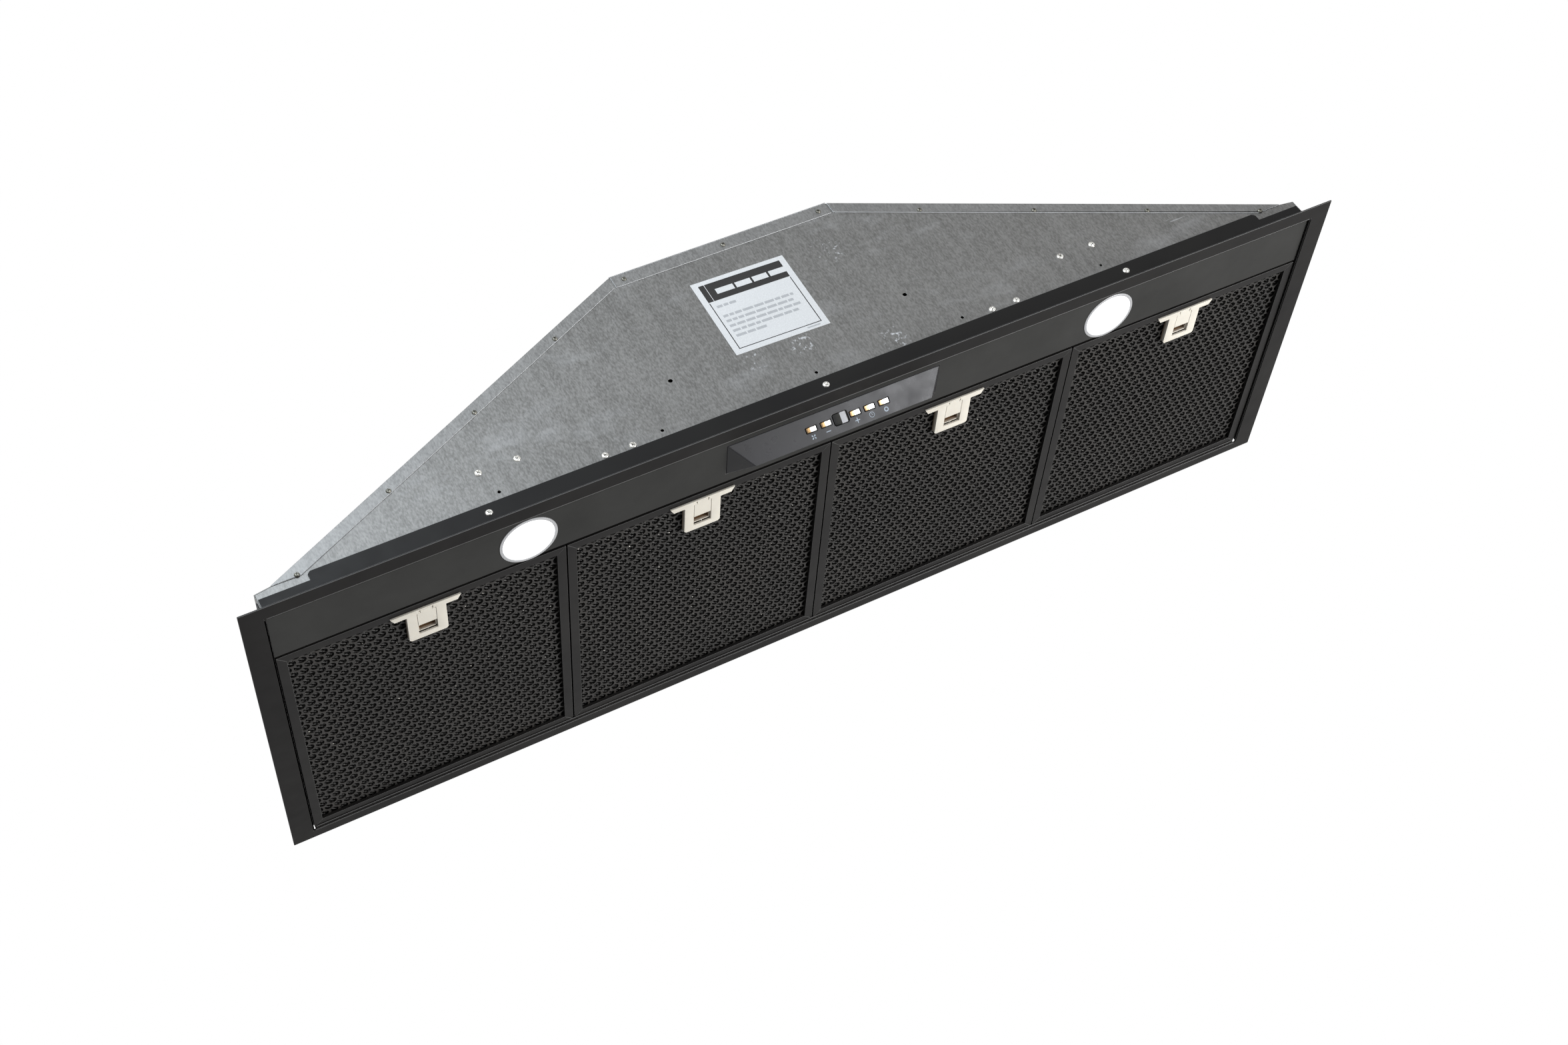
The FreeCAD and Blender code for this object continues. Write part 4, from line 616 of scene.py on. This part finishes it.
sticker_shape = bmesh.new()
sticker_bar(sticker_shape, -STICKER_HALF, STICKER_HALF, -STICKER_HALF, STICKER_HALF, PAPER, -0.00001, 0)
top = PAPER + INK
sunk = PAPER * 0.5
heading_top = INNER + 0.001
heading_foot = heading_top - HEADING
sticker_bar(sticker_shape, -INNER, INNER, heading_foot, heading_top, top, sunk, 1)
for left, right, low, high in ((-INNER, -INNER + RULE, -INNER, INNER - HEADING),
                               (INNER - RULE, INNER, -INNER, INNER - HEADING),
                               (-INNER, INNER, -INNER, -INNER + RULE)):
    sticker_bar(sticker_shape, left, right, low, high, top, sunk, 1)
sticker_bar(sticker_shape, INNER - 0.017, INNER - 0.003, -INNER - 0.0036, -INNER - 0.002, top, sunk, 2)
words = random.Random(4)
for row, filled in enumerate(ROWS_FILLED):
    x = -INNER + ROW_INSET
    z = INNER - HEADING - FIRST_ROW - row * ROW_PITCH
    end = x + 2 * (INNER - ROW_INSET) * filled
    while x < end - 0.002:
        width = min(words.uniform(0.004, 0.0115), end - x)
        sticker_bar(sticker_shape, x, x + width, z - ROW_HALF, z + ROW_HALF, top, sunk, 2)
        x += width + 0.0014
sticker_bar(sticker_shape, -INNER + 0.0058, -INNER + 0.0063, heading_foot, heading_top, top + INK, PAPER, 3)
x = -INNER + 0.0135
while x < INNER - 0.014:
    width = words.uniform(0.013, 0.02)
    sticker_bar(sticker_shape, x, x + width, INNER - 0.0152, INNER - 0.0082, top + INK, PAPER, 3)
    x += width + 0.0022
bmesh.ops.recalc_face_normals(sticker_shape, faces=sticker_shape.faces)
sticker = as_piece("sticker", sticker_shape)
for finish in (printed("sticker paper", tint(180, 180, 180), 0.5),
               printed("sticker heading", tint(22, 21, 21), 0.4),
               printed("sticker print", tint(146, 147, 148), 0.5),
               printed("sticker heading print", tint(180, 180, 180), 0.4)):
    sticker.data.materials.append(finish)
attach(sticker, "hood")


# ------------------------------------------------ lamps
# Two recessed lamps in the light band: a pressed metal bezel and can with an opal lens, both lit.

def lathe(name, profile, centre, turns=96):
    """A ring of revolution about a vertical line, from a closed outline of radius and height."""
    shape = bmesh.new()
    rings = []
    for n in range(turns):
        angle = 2 * math.pi * n / turns
        rings.append([shape.verts.new((centre.x + r * math.cos(angle), centre.y + r * math.sin(angle),
                                       centre.z + h)) for r, h in profile])
    for n in range(turns):
        here, there = rings[n], rings[(n + 1) % turns]
        for k in range(len(profile)):
            after = (k + 1) % len(profile)
            shape.faces.new((here[k], there[k], there[after], here[after]))
    bmesh.ops.remove_doubles(shape, verts=shape.verts, dist=WELD)
    bmesh.ops.recalc_face_normals(shape, faces=shape.faces)
    piece = as_piece(name, shape)
    shade(piece.data)
    return piece


def lamp_trim():
    trim = Finish("lamp bezel", Metallic=0.8)
    grain = trim.noise(700.0, 2.0)
    trim.set("Base Color", trim.mix(grain, tint(168, 169, 171), tint(192, 193, 195)))
    trim.set("Roughness", trim.spread(trim.noise(80.0, 3.0), 0.3, 0.7, 0.28, 0.4))
    trim.bump(grain, 0.00001)
    return trim.material


def lit_opal():
    opal = Finish("lit opal lens", Emission_Strength=1.15, Roughness=0.35)
    haze = opal.noise(220.0, 2.0)
    opal.set("Base Color", opal.mix(haze, tint(235, 235, 235), tint(250, 250, 248)))
    opal.set("Emission Color", opal.mix(haze, (1.0, 1.0, 1.0, 1.0), (0.97, 0.98, 1.0, 1.0)))
    return opal.material


BEZEL_LIP = 0.002
BEZEL_T = 0.0008
LENS_GAP = 0.0002
LENS_T = 0.002
bezel_metal = lamp_trim()
opal_glass = lit_opal()
for side in ("left", "right"):
    low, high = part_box("lamp_body_" + side)
    seat = Vector(((low.x + high.x) / 2, (low.y + high.y) / 2, low.z))
    rim = (high.x - low.x) / 2
    tall = high.z - low.z
    can = rim - BEZEL_LIP
    lens = (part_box("lamp_lens_" + side)[1].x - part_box("lamp_lens_" + side)[0].x) / 2
    ledge = LENS_T + 0.0001
    bezel = lathe("lamp_bezel_" + side, [
        (lens + LENS_GAP, 0.0), (rim - 0.0006, 0.0), (rim - 0.0002, 0.00015), (rim, 0.0005), (rim, BEZEL_T),
        (can, BEZEL_T), (can, tall), (0.0, tall), (0.0, tall - BEZEL_T), (can - BEZEL_T, tall - BEZEL_T),
        (can - BEZEL_T, ledge), (lens + LENS_GAP, ledge)], seat)
    dress(bezel, bezel_metal, "hood")
    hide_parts("lamp_body_" + side)
    glass = lathe("lamp_glass_" + side, [
        (0.0, 0.0001), (lens * 0.5, 0.00012), (lens * 0.85, 0.0002), (lens - 0.0003, 0.00035), (lens, 0.0007),
        (lens, LENS_T), (0.0, LENS_T)], seat)
    dress(glass, opal_glass, "hood")
    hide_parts("lamp_lens_" + side)


# ------------------------------------------------ control wedge
# A moulded wedge that hangs below the light band, with five sprung keys, a smoked display pane and
# printed symbols in a row along its sloping face.
FACE_ALONG = Vector((0.0, 0.606043, -0.795431))
FACE_OUT = Vector((0.0, -0.795431, -0.606043))
BAND_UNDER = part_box("light_band")[0].z
FACE_FOOT = Vector((0.0, -0.1645, BAND_UNDER))


def on_face(x, along, lift):
    """A point over the sloping face: across, down the slope from its front edge, and off the face."""
    return Vector((x, 0.0, 0.0)) + FACE_FOOT + FACE_ALONG * along + FACE_OUT * lift


wedge_black = black_coat("wedge moulding", tint(26, 26, 28), tint(33, 33, 36), 0.000015, 0.3, 0.3)
eased("control_housing", 0.0008, wedge_black, "hood", steps=3)


DARK_REFLECTION_END = 0.0008


def key_middle(body):
    low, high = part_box(body + "_button")
    return (low.x + high.x) / 2


def key_metal(x):
    """Bright plated key whose middle is at x, with a painted dark amber reflection over its left end, darkest
    at its very end as painted shade.
    """
    key = Finish("key plating", Metallic=0.85)
    across = key.along("X")
    # painted reflection and shade: left of this line the key is painted dark amber, going near black at its
    # end
    dark_reflection_side = across < (x - DARK_REFLECTION_END)
    sheen = key.noise(300.0, 2.0)
    bright = key.mix(sheen, tint(198, 197, 194), tint(222, 221, 218))
    painted_dark_reflection = key.mix(key.spread(across, x - 0.005, x - 0.0022), tint(30, 22, 13), tint(150, 122, 84))
    key.set("Base Color", key.mix(dark_reflection_side, bright, painted_dark_reflection))
    key.set("Roughness", key.spread(sheen, 0.3, 0.7, 0.1, 0.2))
    key.bump(key.noise(900.0, 1.0), 0.000008)
    return key.material


for body in ("fan", "minus", "plus", "timer", "lamp"):
    eased(body + "_button", 0.0005, key_metal(key_middle(body)), "key_" + body, steps=3)


def smoked_pane():
    """Black glass with a painted pale reflection over its right-hand part."""
    pane = Finish("smoked display pane", Specular_IOR_Level=0.08)
    low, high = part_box("display_window")
    middle = (low.x + high.x) / 2
    across = pane.along("X")
    # painted reflection: a pale band over the right of the pane's middle; the dark part grows a little
    # lighter and warmer towards the middle
    lit = (across > (middle + 0.0004)) * (across < (middle + 0.0064))
    reflection_and_gloss_noise = pane.noise(260.0, 3.0)
    dark = pane.mix(pane.spread(across, middle - 0.006, middle), tint(9, 9, 8), tint(22, 22, 14))
    pane.set("Base Color", pane.mix(lit, dark, pane.mix(reflection_and_gloss_noise, tint(150, 152, 156), tint(172, 174, 178))))
    pane.set("Roughness", pane.spread(reflection_and_gloss_noise, 0.3, 0.7, 0.06, 0.14))
    return pane.material


eased("display_window", 0.0004, smoked_pane(), "hood", steps=3)

SYMBOL_ALONG = 0.0206
SYMBOL_LIFT = 0.00005


def flat_shape(shape, outline, x, along):
    """A printed patch on the sloping face, from an outline of across and along offsets."""
    lifted = [shape.verts.new(on_face(x + u, along + v, SYMBOL_LIFT)) for u, v in outline]
    sunk = [shape.verts.new(on_face(x + u, along + v, -SYMBOL_LIFT)) for u, v in outline]
    shape.faces.new(lifted)
    shape.faces.new(reversed(sunk))
    for k in range(len(outline)):
        after = (k + 1) % len(outline)
        shape.faces.new((lifted[k], sunk[k], sunk[after], lifted[after]))


def band_shape(shape, radius, width, x, along, steps=32):
    """A printed ring on the sloping face."""
    for n in range(steps):
        a, b = (2 * math.pi * k / steps for k in (n, n + 1))
        flat_shape(shape, [(r * math.cos(t), r * math.sin(t)) for r, t in (
            (radius, a), (radius, b), (radius - width, b), (radius - width, a))], x, along)


def bar_shape(shape, half_length, half_width, x, along, turn=0.0):
    c, s = math.cos(turn), math.sin(turn)
    corners = ((-half_length, -half_width), (half_length, -half_width), (half_length, half_width),
               (-half_length, half_width))
    flat_shape(shape, [(u * c - v * s, u * s + v * c) for u, v in corners], x, along)


def petal(turn, inner=0.0005, outer=0.0027, width=0.00085):
    """The outline of one fan blade."""
    points = []
    for n in range(12):
        angle = 2 * math.pi * n / 12
        u = (inner + outer) / 2 + (outer - inner) / 2 * math.cos(angle)
        v = width * math.sin(angle) * (0.75 + 0.35 * math.cos(angle))
        points.append((u * math.cos(turn) - v * math.sin(turn), u * math.sin(turn) + v * math.cos(turn)))
    return points


symbols = bmesh.new()
for quarter in range(4):
    flat_shape(symbols, petal(math.radians(45 + 90 * quarter)), key_middle("fan"), SYMBOL_ALONG)
bar_shape(symbols, 0.0024, 0.00035, key_middle("minus"), SYMBOL_ALONG)
bar_shape(symbols, 0.0026, 0.0004, key_middle("plus"), SYMBOL_ALONG)
for side in (-1, 1):
    bar_shape(symbols, 0.0011, 0.0004, key_middle("plus"), SYMBOL_ALONG + side * 0.0015, math.pi / 2)
band_shape(symbols, 0.0027, 0.00045, key_middle("timer"), SYMBOL_ALONG)
bar_shape(symbols, 0.0008, 0.0002, key_middle("timer"), SYMBOL_ALONG - 0.0007, math.pi / 2)
bar_shape(symbols, 0.0006, 0.0002, key_middle("timer") + 0.0005, SYMBOL_ALONG)
band_shape(symbols, 0.0024, 0.0011, key_middle("lamp"), SYMBOL_ALONG)
bmesh.ops.recalc_face_normals(symbols, faces=symbols.faces)
symbol_ink = printed("symbol print", tint(136, 147, 158), 0.5)
dress(as_piece("key_symbols", symbols), symbol_ink, "hood")


# ------------------------------------------------ grease filters
# Four alike cassettes, all coated black: a channel frame mitred at its corners round a perforated
# sheet, with layers of expanded mesh behind it that catch the grease.
FILTERS = (1, 2, 3, 4)
RIM = 0.009
CHANNEL_T = 0.0008
MITRE_GAP = 0.00012
RAIL_EDGE = 0.00032
SHEET_T = 0.0005
SLOT_HALF = 0.0064
SLOT_DEPTH = 0.0011
SLOT_FOOT = 0.004
SLOT_TOP = 0.0068
PITCH = 0.00985
HOLE_RADIUS = 0.0042
HOLE_EDGE = 0.0007
POCKET_HALF = 0.012
POCKET_DEPTH = 0.0445
STRAND_LIFT = 0.0021
STRAND_SETBACK = 0.003
LAYER_LIFT = 0.0034
LAYER_T = 0.0012
# the frames carry the same painted highlight over their folds, in the last colour given
filter_black = black_coat("filter frame black", tint(21, 20, 20), tint(28, 27, 26), 0.000012, 0.42, 0.13,
                          tint(84, 84, 84))


def rail(shape, low, high, side, lip_top):
    """One mitred rail of a channel frame, on one side of the frame's box."""
    tall = high.z - low.z
    outline = [(0.0, 0.0), (RIM, 0.0), (RIM, lip_top), (RIM - CHANNEL_T, lip_top),
               (RIM - CHANNEL_T, CHANNEL_T), (CHANNEL_T, CHANNEL_T), (CHANNEL_T, tall - CHANNEL_T),
               (RIM, tall - CHANNEL_T), (RIM, tall), (0.0, tall)]
    ends = []
    for end in (0, 1):
        ring = []
        for inward, up in outline:
            run = inward + MITRE_GAP
            if side in ("front", "back"):
                x = low.x + run if end == 0 else high.x - run
                y = low.y + inward if side == "front" else high.y - inward
            else:
                y = low.y + run if end == 0 else high.y - run
                x = low.x + inward if side == "left" else high.x - inward
            ring.append(shape.verts.new((x, y, low.z + up)))
        ends.append(ring)
    for k in range(len(outline)):
        after = (k + 1) % len(outline)
        shape.faces.new((ends[0][k], ends[0][after], ends[1][after], ends[1][k]))
    shape.faces.new(ends[0])
    shape.faces.new(reversed(ends[1]))


def notch(piece, low, high):
    """Cuts the box between two corners out of a piece."""
    shape = bmesh.new()
    bmesh.ops.create_cube(shape, size=1.0)
    tool = as_piece("notch", shape)
    tool.location = (low + high) / 2
    tool.scale = high - low
    cut = piece.modifiers.new("notch", "BOOLEAN")
    cut.operation = "DIFFERENCE"
    cut.object = tool
    made_plain(piece)
    bpy.data.objects.remove(tool)


def perforated_pattern():
    """A sheet with staggered rows of round holes, which its edges may cut, and a pocket for the latch."""
    tree = Pattern("perforated sheet", ("Width", "Depth", "Pitch", "Hole Radius", "Edge", "Sheet",
                                        "Pocket Half", "Pocket Depth"),
                   {"Hole Sides": "Int", "Centre": "Vector"})
    width, depth, pitch = tree.given("Width"), tree.given("Depth"), tree.given("Pitch")
    radius = tree.given("Hole Radius")
    step = pitch * math.sqrt(0.75)
    columns, rows = width / pitch, depth / step
    columns = columns.reckon("FLOOR", columns) + 3.0
    rows = rows.reckon("FLOOR", rows) + 1.0
    grid = tree.node("GeometryNodeMeshGrid", {}, {
        "Size X": (columns - 1.0) * pitch, "Size Y": (rows - 1.0) * step, "Vertices X": columns,
        "Vertices Y": rows})
    place = tree.node("GeometryNodeInputPosition")
    x, y = tree.part(place, 0), tree.part(place, 1)
    row = (y + (rows - 1.0) * step * 0.5) / step
    row = row.reckon("ROUND", row)
    odd = row.reckon("MODULO", row, 2.0)
    lattice = tree.node("GeometryNodeSetPosition", {}, {
        "Geometry": grid, "Offset": tree.vector((odd - 0.5) * pitch * 0.5)})
    reach = radius + tree.given("Edge")
    outside = x.reckon("ABSOLUTE", x) > (width * 0.5 - reach)
    outside = outside + (y.reckon("ABSOLUTE", y) > (depth * 0.5 - reach))
    pocket_y = depth * -0.5 + tree.given("Pocket Depth")
    in_pocket = (x.reckon("ABSOLUTE", x) < (tree.given("Pocket Half") + radius)) * (y < (pocket_y + radius))
    kept = tree.node("GeometryNodeDeleteGeometry", {"domain": "POINT"}, {
        "Geometry": lattice, "Selection": outside + in_pocket})
    hole = tree.node("GeometryNodeCurvePrimitiveCircle", {}, {
        "Resolution": tree.given("Hole Sides"), "Radius": radius})
    holes = tree.node("GeometryNodeRealizeInstances", {}, {0: tree.node("GeometryNodeInstanceOnPoints", {}, {
        "Points": kept, "Instance": hole})})
    border = tree.node("GeometryNodeCurvePrimitiveQuadrilateral", {}, {"Width": width, "Height": depth})
    pocket_depth = tree.given("Pocket Depth") - 0.001
    pocket = tree.node("GeometryNodeCurvePrimitiveQuadrilateral", {}, {
        "Width": tree.given("Pocket Half") * 2.0, "Height": pocket_depth})
    pocket = tree.moved(pocket, tree.vector(0.0, pocket_y - pocket_depth * 0.5))
    under = tree.node("GeometryNodeFillCurve", {}, {"Curve": tree.join(border, pocket, holes)})
    over = tree.node("GeometryNodeExtrudeMesh", {"mode": "FACES"}, {
        "Mesh": under, "Offset": (0.0, 0.0, 1.0), "Offset Scale": tree.given("Sheet"), "Individual": False})
    whole = tree.join(over, tree.node("GeometryNodeFlipFaces", {}, {0: under}))
    whole = tree.node("GeometryNodeMergeByDistance", {}, {"Geometry": whole, "Distance": WELD})
    tree.end(tree.moved(whole, tree.given("Centre")))
    return tree


def expanded_pattern():
    """A crumpled net of diamonds drawn as round strands, with the same pocket."""
    tree = Pattern("expanded mesh", ("Width", "Depth", "Long Way", "Short Way", "Strand", "Wave",
                                     "Pocket Half", "Pocket Depth", "Seed"), {"Centre": "Vector"})
    width, depth = tree.given("Width"), tree.given("Depth")
    long_way, short_way = tree.given("Long Way"), tree.given("Short Way")
    count = width / long_way + depth / short_way
    count = count.reckon("FLOOR", count) + 3.0
    grid = tree.node("GeometryNodeMeshGrid", {}, {"Size X": count - 1.0, "Size Y": count - 1.0,
                                                  "Vertices X": count, "Vertices Y": count})
    place = tree.node("GeometryNodeInputPosition")
    x, y = tree.part(place, 0), tree.part(place, 1)
    diamonds = tree.node("GeometryNodeSetPosition", {}, {
        "Geometry": grid, "Position": tree.vector((x - y) * long_way * 0.5, (x + y) * short_way * 0.5)})
    outside = (x.reckon("ABSOLUTE", x) > (width * 0.5)) + (y.reckon("ABSOLUTE", y) > (depth * 0.5))
    in_pocket = (x.reckon("ABSOLUTE", x) < tree.given("Pocket Half")) * (
        y < (depth * -0.5 + tree.given("Pocket Depth")))
    kept = tree.node("GeometryNodeDeleteGeometry", {"domain": "POINT"}, {
        "Geometry": diamonds, "Selection": outside + in_pocket})
    crumple = tree.node("ShaderNodeTexNoise", {"noise_dimensions": "4D"}, {
        "Vector": place, "W": tree.given("Seed"), "Scale": 330.0, "Detail": 1.0})
    wavy = tree.node("GeometryNodeSetPosition", {}, {
        "Geometry": kept, "Offset": tree.vector(0.0, 0.0, (crumple - 0.5) * tree.given("Wave"))})
    lines = tree.node("GeometryNodeMeshToCurve", {}, {"Mesh": wavy})
    section = tree.node("GeometryNodeCurvePrimitiveCircle", {}, {
        "Resolution": 3, "Radius": tree.given("Strand")})
    strands = tree.node("GeometryNodeCurveToMesh", {}, {
        "Curve": lines, "Profile Curve": section, "Fill Caps": True})
    tree.end(tree.moved(strands, tree.given("Centre")))
    return tree


def mesh_metal():
    """Black coated strands that glint where the coat is thin."""
    metal = Finish("black expanded mesh", Specular_IOR_Level=0.28)
    worn = metal.spread(metal.noise(430.0, 2.0), 0.69, 0.76)
    metal.set("Base Color", metal.mix(worn, tint(19, 18, 17), tint(140, 138, 132)))
    metal.set("Metallic", worn * 0.9)
    metal.set("Roughness", 0.5 - worn * 0.25)
    return metal.material


def felt_black():
    """The dense inner layers, seen as a dark crossed texture."""
    layers = Finish("inner mesh layers", Specular_IOR_Level=0.2, Roughness=0.7)
    cross = layers.node("ShaderNodeTexWave", {"wave_type": "BANDS", "bands_direction": "DIAGONAL"}, {
        "Vector": layers.place, "Scale": 260.0, "Distortion": 3.0, "Detail": 2.0})
    layers.set("Base Color", layers.mix(cross, tint(12, 11, 10), tint(30, 29, 27)))
    layers.bump(cross, 0.0003)
    return layers.material


perforated = perforated_pattern()
expanded = expanded_pattern()
strand_metal = mesh_metal()
layer_black = felt_black()
sheet_black = black_coat("perforated sheet black", tint(34, 33, 32), tint(43, 41, 39), 0.00001, 0.4, 0.2)
for number in FILTERS:
    body = "filter_%d" % number
    low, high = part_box("filter_frame_%d" % number)
    mesh_low, mesh_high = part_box("filter_mesh_%d" % number)
    shape = bmesh.new()
    for side in ("front", "back", "left", "right"):
        rail(shape, low, high, side, mesh_low.z - low.z)
    bmesh.ops.recalc_face_normals(shape, faces=shape.faces)
    rails = as_piece("filter_rails_%d" % number, shape)
    middle = (low.x + high.x) / 2
    notch(rails, Vector((middle - SLOT_HALF, low.y - 0.001, low.z + SLOT_FOOT)),
          Vector((middle + SLOT_HALF, low.y + SLOT_DEPTH, low.z + SLOT_TOP)))
    round_over(rails, RAIL_EDGE, 2, sharpest=50.0)
    dress(rails, filter_black, body)
    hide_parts("filter_frame_%d" % number)

    width = mesh_high.x - mesh_low.x
    depth = mesh_high.y - mesh_low.y
    centre = (mesh_low + mesh_high) / 2
    sheet = perforated.grow("filter_sheet_%d" % number, {
        "Width": width, "Depth": depth, "Pitch": PITCH, "Hole Radius": HOLE_RADIUS, "Hole Sides": 16,
        "Edge": HOLE_EDGE, "Sheet": SHEET_T, "Pocket Half": POCKET_HALF, "Pocket Depth": POCKET_DEPTH,
        "Centre": (centre.x, centre.y, mesh_low.z)}, sheet_black)
    dress(sheet, None, body)
    strands = expanded.grow("filter_strands_%d" % number, {
        "Width": width - 2 * STRAND_SETBACK, "Depth": depth - 2 * STRAND_SETBACK,
        "Long Way": 0.0062, "Short Way": 0.0042,
        "Strand": 0.0007, "Wave": 0.002, "Pocket Half": POCKET_HALF, "Pocket Depth": POCKET_DEPTH - 0.002,
        "Centre": (centre.x, centre.y, mesh_low.z + STRAND_LIFT), "Seed": float(number)}, strand_metal)
    dress(strands, None, body)
    backing = perforated.grow("filter_layers_%d" % number, {
        "Width": width, "Depth": depth, "Pitch": 0.04, "Hole Radius": 0.0005, "Hole Sides": 6,
        "Edge": 0.5, "Sheet": LAYER_T, "Pocket Half": POCKET_HALF, "Pocket Depth": POCKET_DEPTH,
        "Centre": (centre.x, centre.y, mesh_low.z + LAYER_LIFT)}, layer_black)
    dress(backing, None, body)
    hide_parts("filter_mesh_%d" % number)


# ------------------------------------------------ filter latches
# Cream moulded latches clipped into each filter's front edge: a T-shaped housing and a sprung
# slide with a finger pocket, and a coil spring of bright wire inside.

def cream_plastic():
    cream = Finish("cream moulding", Specular_IOR_Level=0.5, Subsurface_Weight=0.08,
                   Subsurface_Radius=(0.002, 0.0015, 0.001))
    # painted shade: the cream darkens to brown the higher it lies above the underside, deep in the finger
    # pocket and slots
    depth = cream.spread(cream.along("Z"), 0.0, 0.004)
    cloud = cream.noise(90.0, 3.0)
    pale = cream.mix(cloud, tint(182, 178, 168), tint(194, 190, 180))
    cream.set("Base Color", cream.mix(depth, pale, tint(92, 68, 44)))
    cream.set("Roughness", cream.spread(cream.noise(200.0, 2.0), 0.3, 0.7, 0.34, 0.46))
    cream.bump(cream.noise(700.0, 2.0), 0.00001)
    return cream.material


def spring_wire():
    wire = Finish("spring wire", Metallic=1.0)
    drawn = wire.noise(900.0, 2.0)
    wire.set("Base Color", wire.mix(drawn, tint(150, 148, 144), tint(190, 188, 184)))
    wire.set("Roughness", wire.spread(drawn, 0.3, 0.7, 0.25, 0.4))
    return wire.material


cream = cream_plastic()
wire = spring_wire()
TAB_HALF = 0.0059
TAB_FRONT = 0.0024
NICK_WIDTH = 0.0009
NICK_LENGTH = 0.0019
NICK_DEPTH = 0.0015
for number in FILTERS:
    housing = eased("latch_body_%d" % number, 0.0003, cream, "filter_%d" % number)
    eased("latch_slider_%d" % number, 0.00025, cream, "latch_%d" % number)
    low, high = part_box("latch_body_%d" % number)
    for side in (-1, 1):
        nick = Vector(((low.x + high.x) / 2 + side * (TAB_HALF + NICK_WIDTH / 2), low.y + TAB_FRONT, low.z))
        half = Vector((NICK_WIDTH / 2, NICK_LENGTH / 2, NICK_DEPTH))
        notch(housing, nick - half, nick + half)
    coil = eased("latch_spring_%d" % number, 0.00004, wire, "filter_%d" % number, steps=1)
    low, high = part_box("latch_spring_%d" % number)
    "latch_%d_pull" % number
    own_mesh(coil)


# ------------------------------------------------ blower and duct outlet
# Inside the housing a galvanised scroll holds a double-inlet wheel on its motor; on top a spigot
# with a two-leaf damper takes the duct.

def finished(node, finish):
    """Gives a CAD piece that stays as it is its finish."""
    nodes[node].data.materials.clear()
    nodes[node].data.materials.append(finish)


def moulded(name, color, rough=0.45):
    plastic = Finish(name)
    cloud = plastic.noise(40.0, 3.0)
    light = tuple(min(1.0, c * 1.2 + 0.003) for c in color[:3]) + (1.0,)
    plastic.set("Base Color", plastic.mix(plastic.spread(cloud, 0.3, 0.7), color, light))
    plastic.set("Roughness", plastic.spread(plastic.noise(150.0, 3.0), 0.3, 0.7, rough - 0.06, rough + 0.06))
    plastic.bump(plastic.noise(1200.0, 2.0), 0.00002)
    return plastic.material


def turned_steel():
    steel = Finish("turned steel", Metallic=1.0)
    rings = steel.noise(800.0, 2.0, 0.5, steel.stretched((6.0, 1.0, 1.0)))
    steel.set("Base Color", steel.mix(rings, tint(150, 150, 152), tint(200, 200, 202)))
    steel.set("Roughness", steel.spread(rings, 0.3, 0.7, 0.18, 0.32))
    return steel.material


def rolled_aluminium():
    metal = Finish("rolled aluminium", Metallic=1.0)
    lines = metal.noise(500.0, 3.0, 0.6, metal.stretched((1.0, 0.04, 1.0)))
    metal.set("Base Color", metal.mix(lines, tint(168, 170, 172), tint(206, 208, 210)))
    metal.set("Roughness", metal.spread(lines, 0.3, 0.7, 0.28, 0.42))
    metal.bump(lines, 0.00001)
    return metal.material


for node in ("blower_wrap", "blower_side_left", "blower_side_right", "motor_bracket"):
    finished(node, zinc_sheet)
finished("motor", moulded("motor enamel", tint(46, 46, 48), 0.4))
finished("impeller", moulded("wheel moulding", tint(196, 197, 198)))
steel = turned_steel()
finished("motor_shaft", steel)
finished("damper_pin", steel)
aluminium = rolled_aluminium()
finished("damper_flap_left", aluminium)
finished("damper_flap_right", aluminium)
eased("outlet_collar", 0.0002, zinc_sheet, "hood", steps=1)


# ------------------------------------------------ electrics
# A mains box with its terminals, a cable gland through the top, the motor's run capacitor, the
# driver of the lamps, and the circuit board behind the keys.
pale_case = moulded("pale electrical case", tint(196, 197, 194), 0.5)
black_case = moulded("black moulding", tint(30, 30, 31), 0.4)
finished("junction_box", pale_case)
finished("junction_box_lid", pale_case)
finished("led_driver", pale_case)
finished("terminal_block", moulded("terminal block cream", tint(216, 208, 186)))
finished("run_capacitor", black_case)
finished("control_board", moulded("circuit board green", tint(28, 92, 52), 0.35))
eased("cable_gland", 0.0003, black_case, "hood")
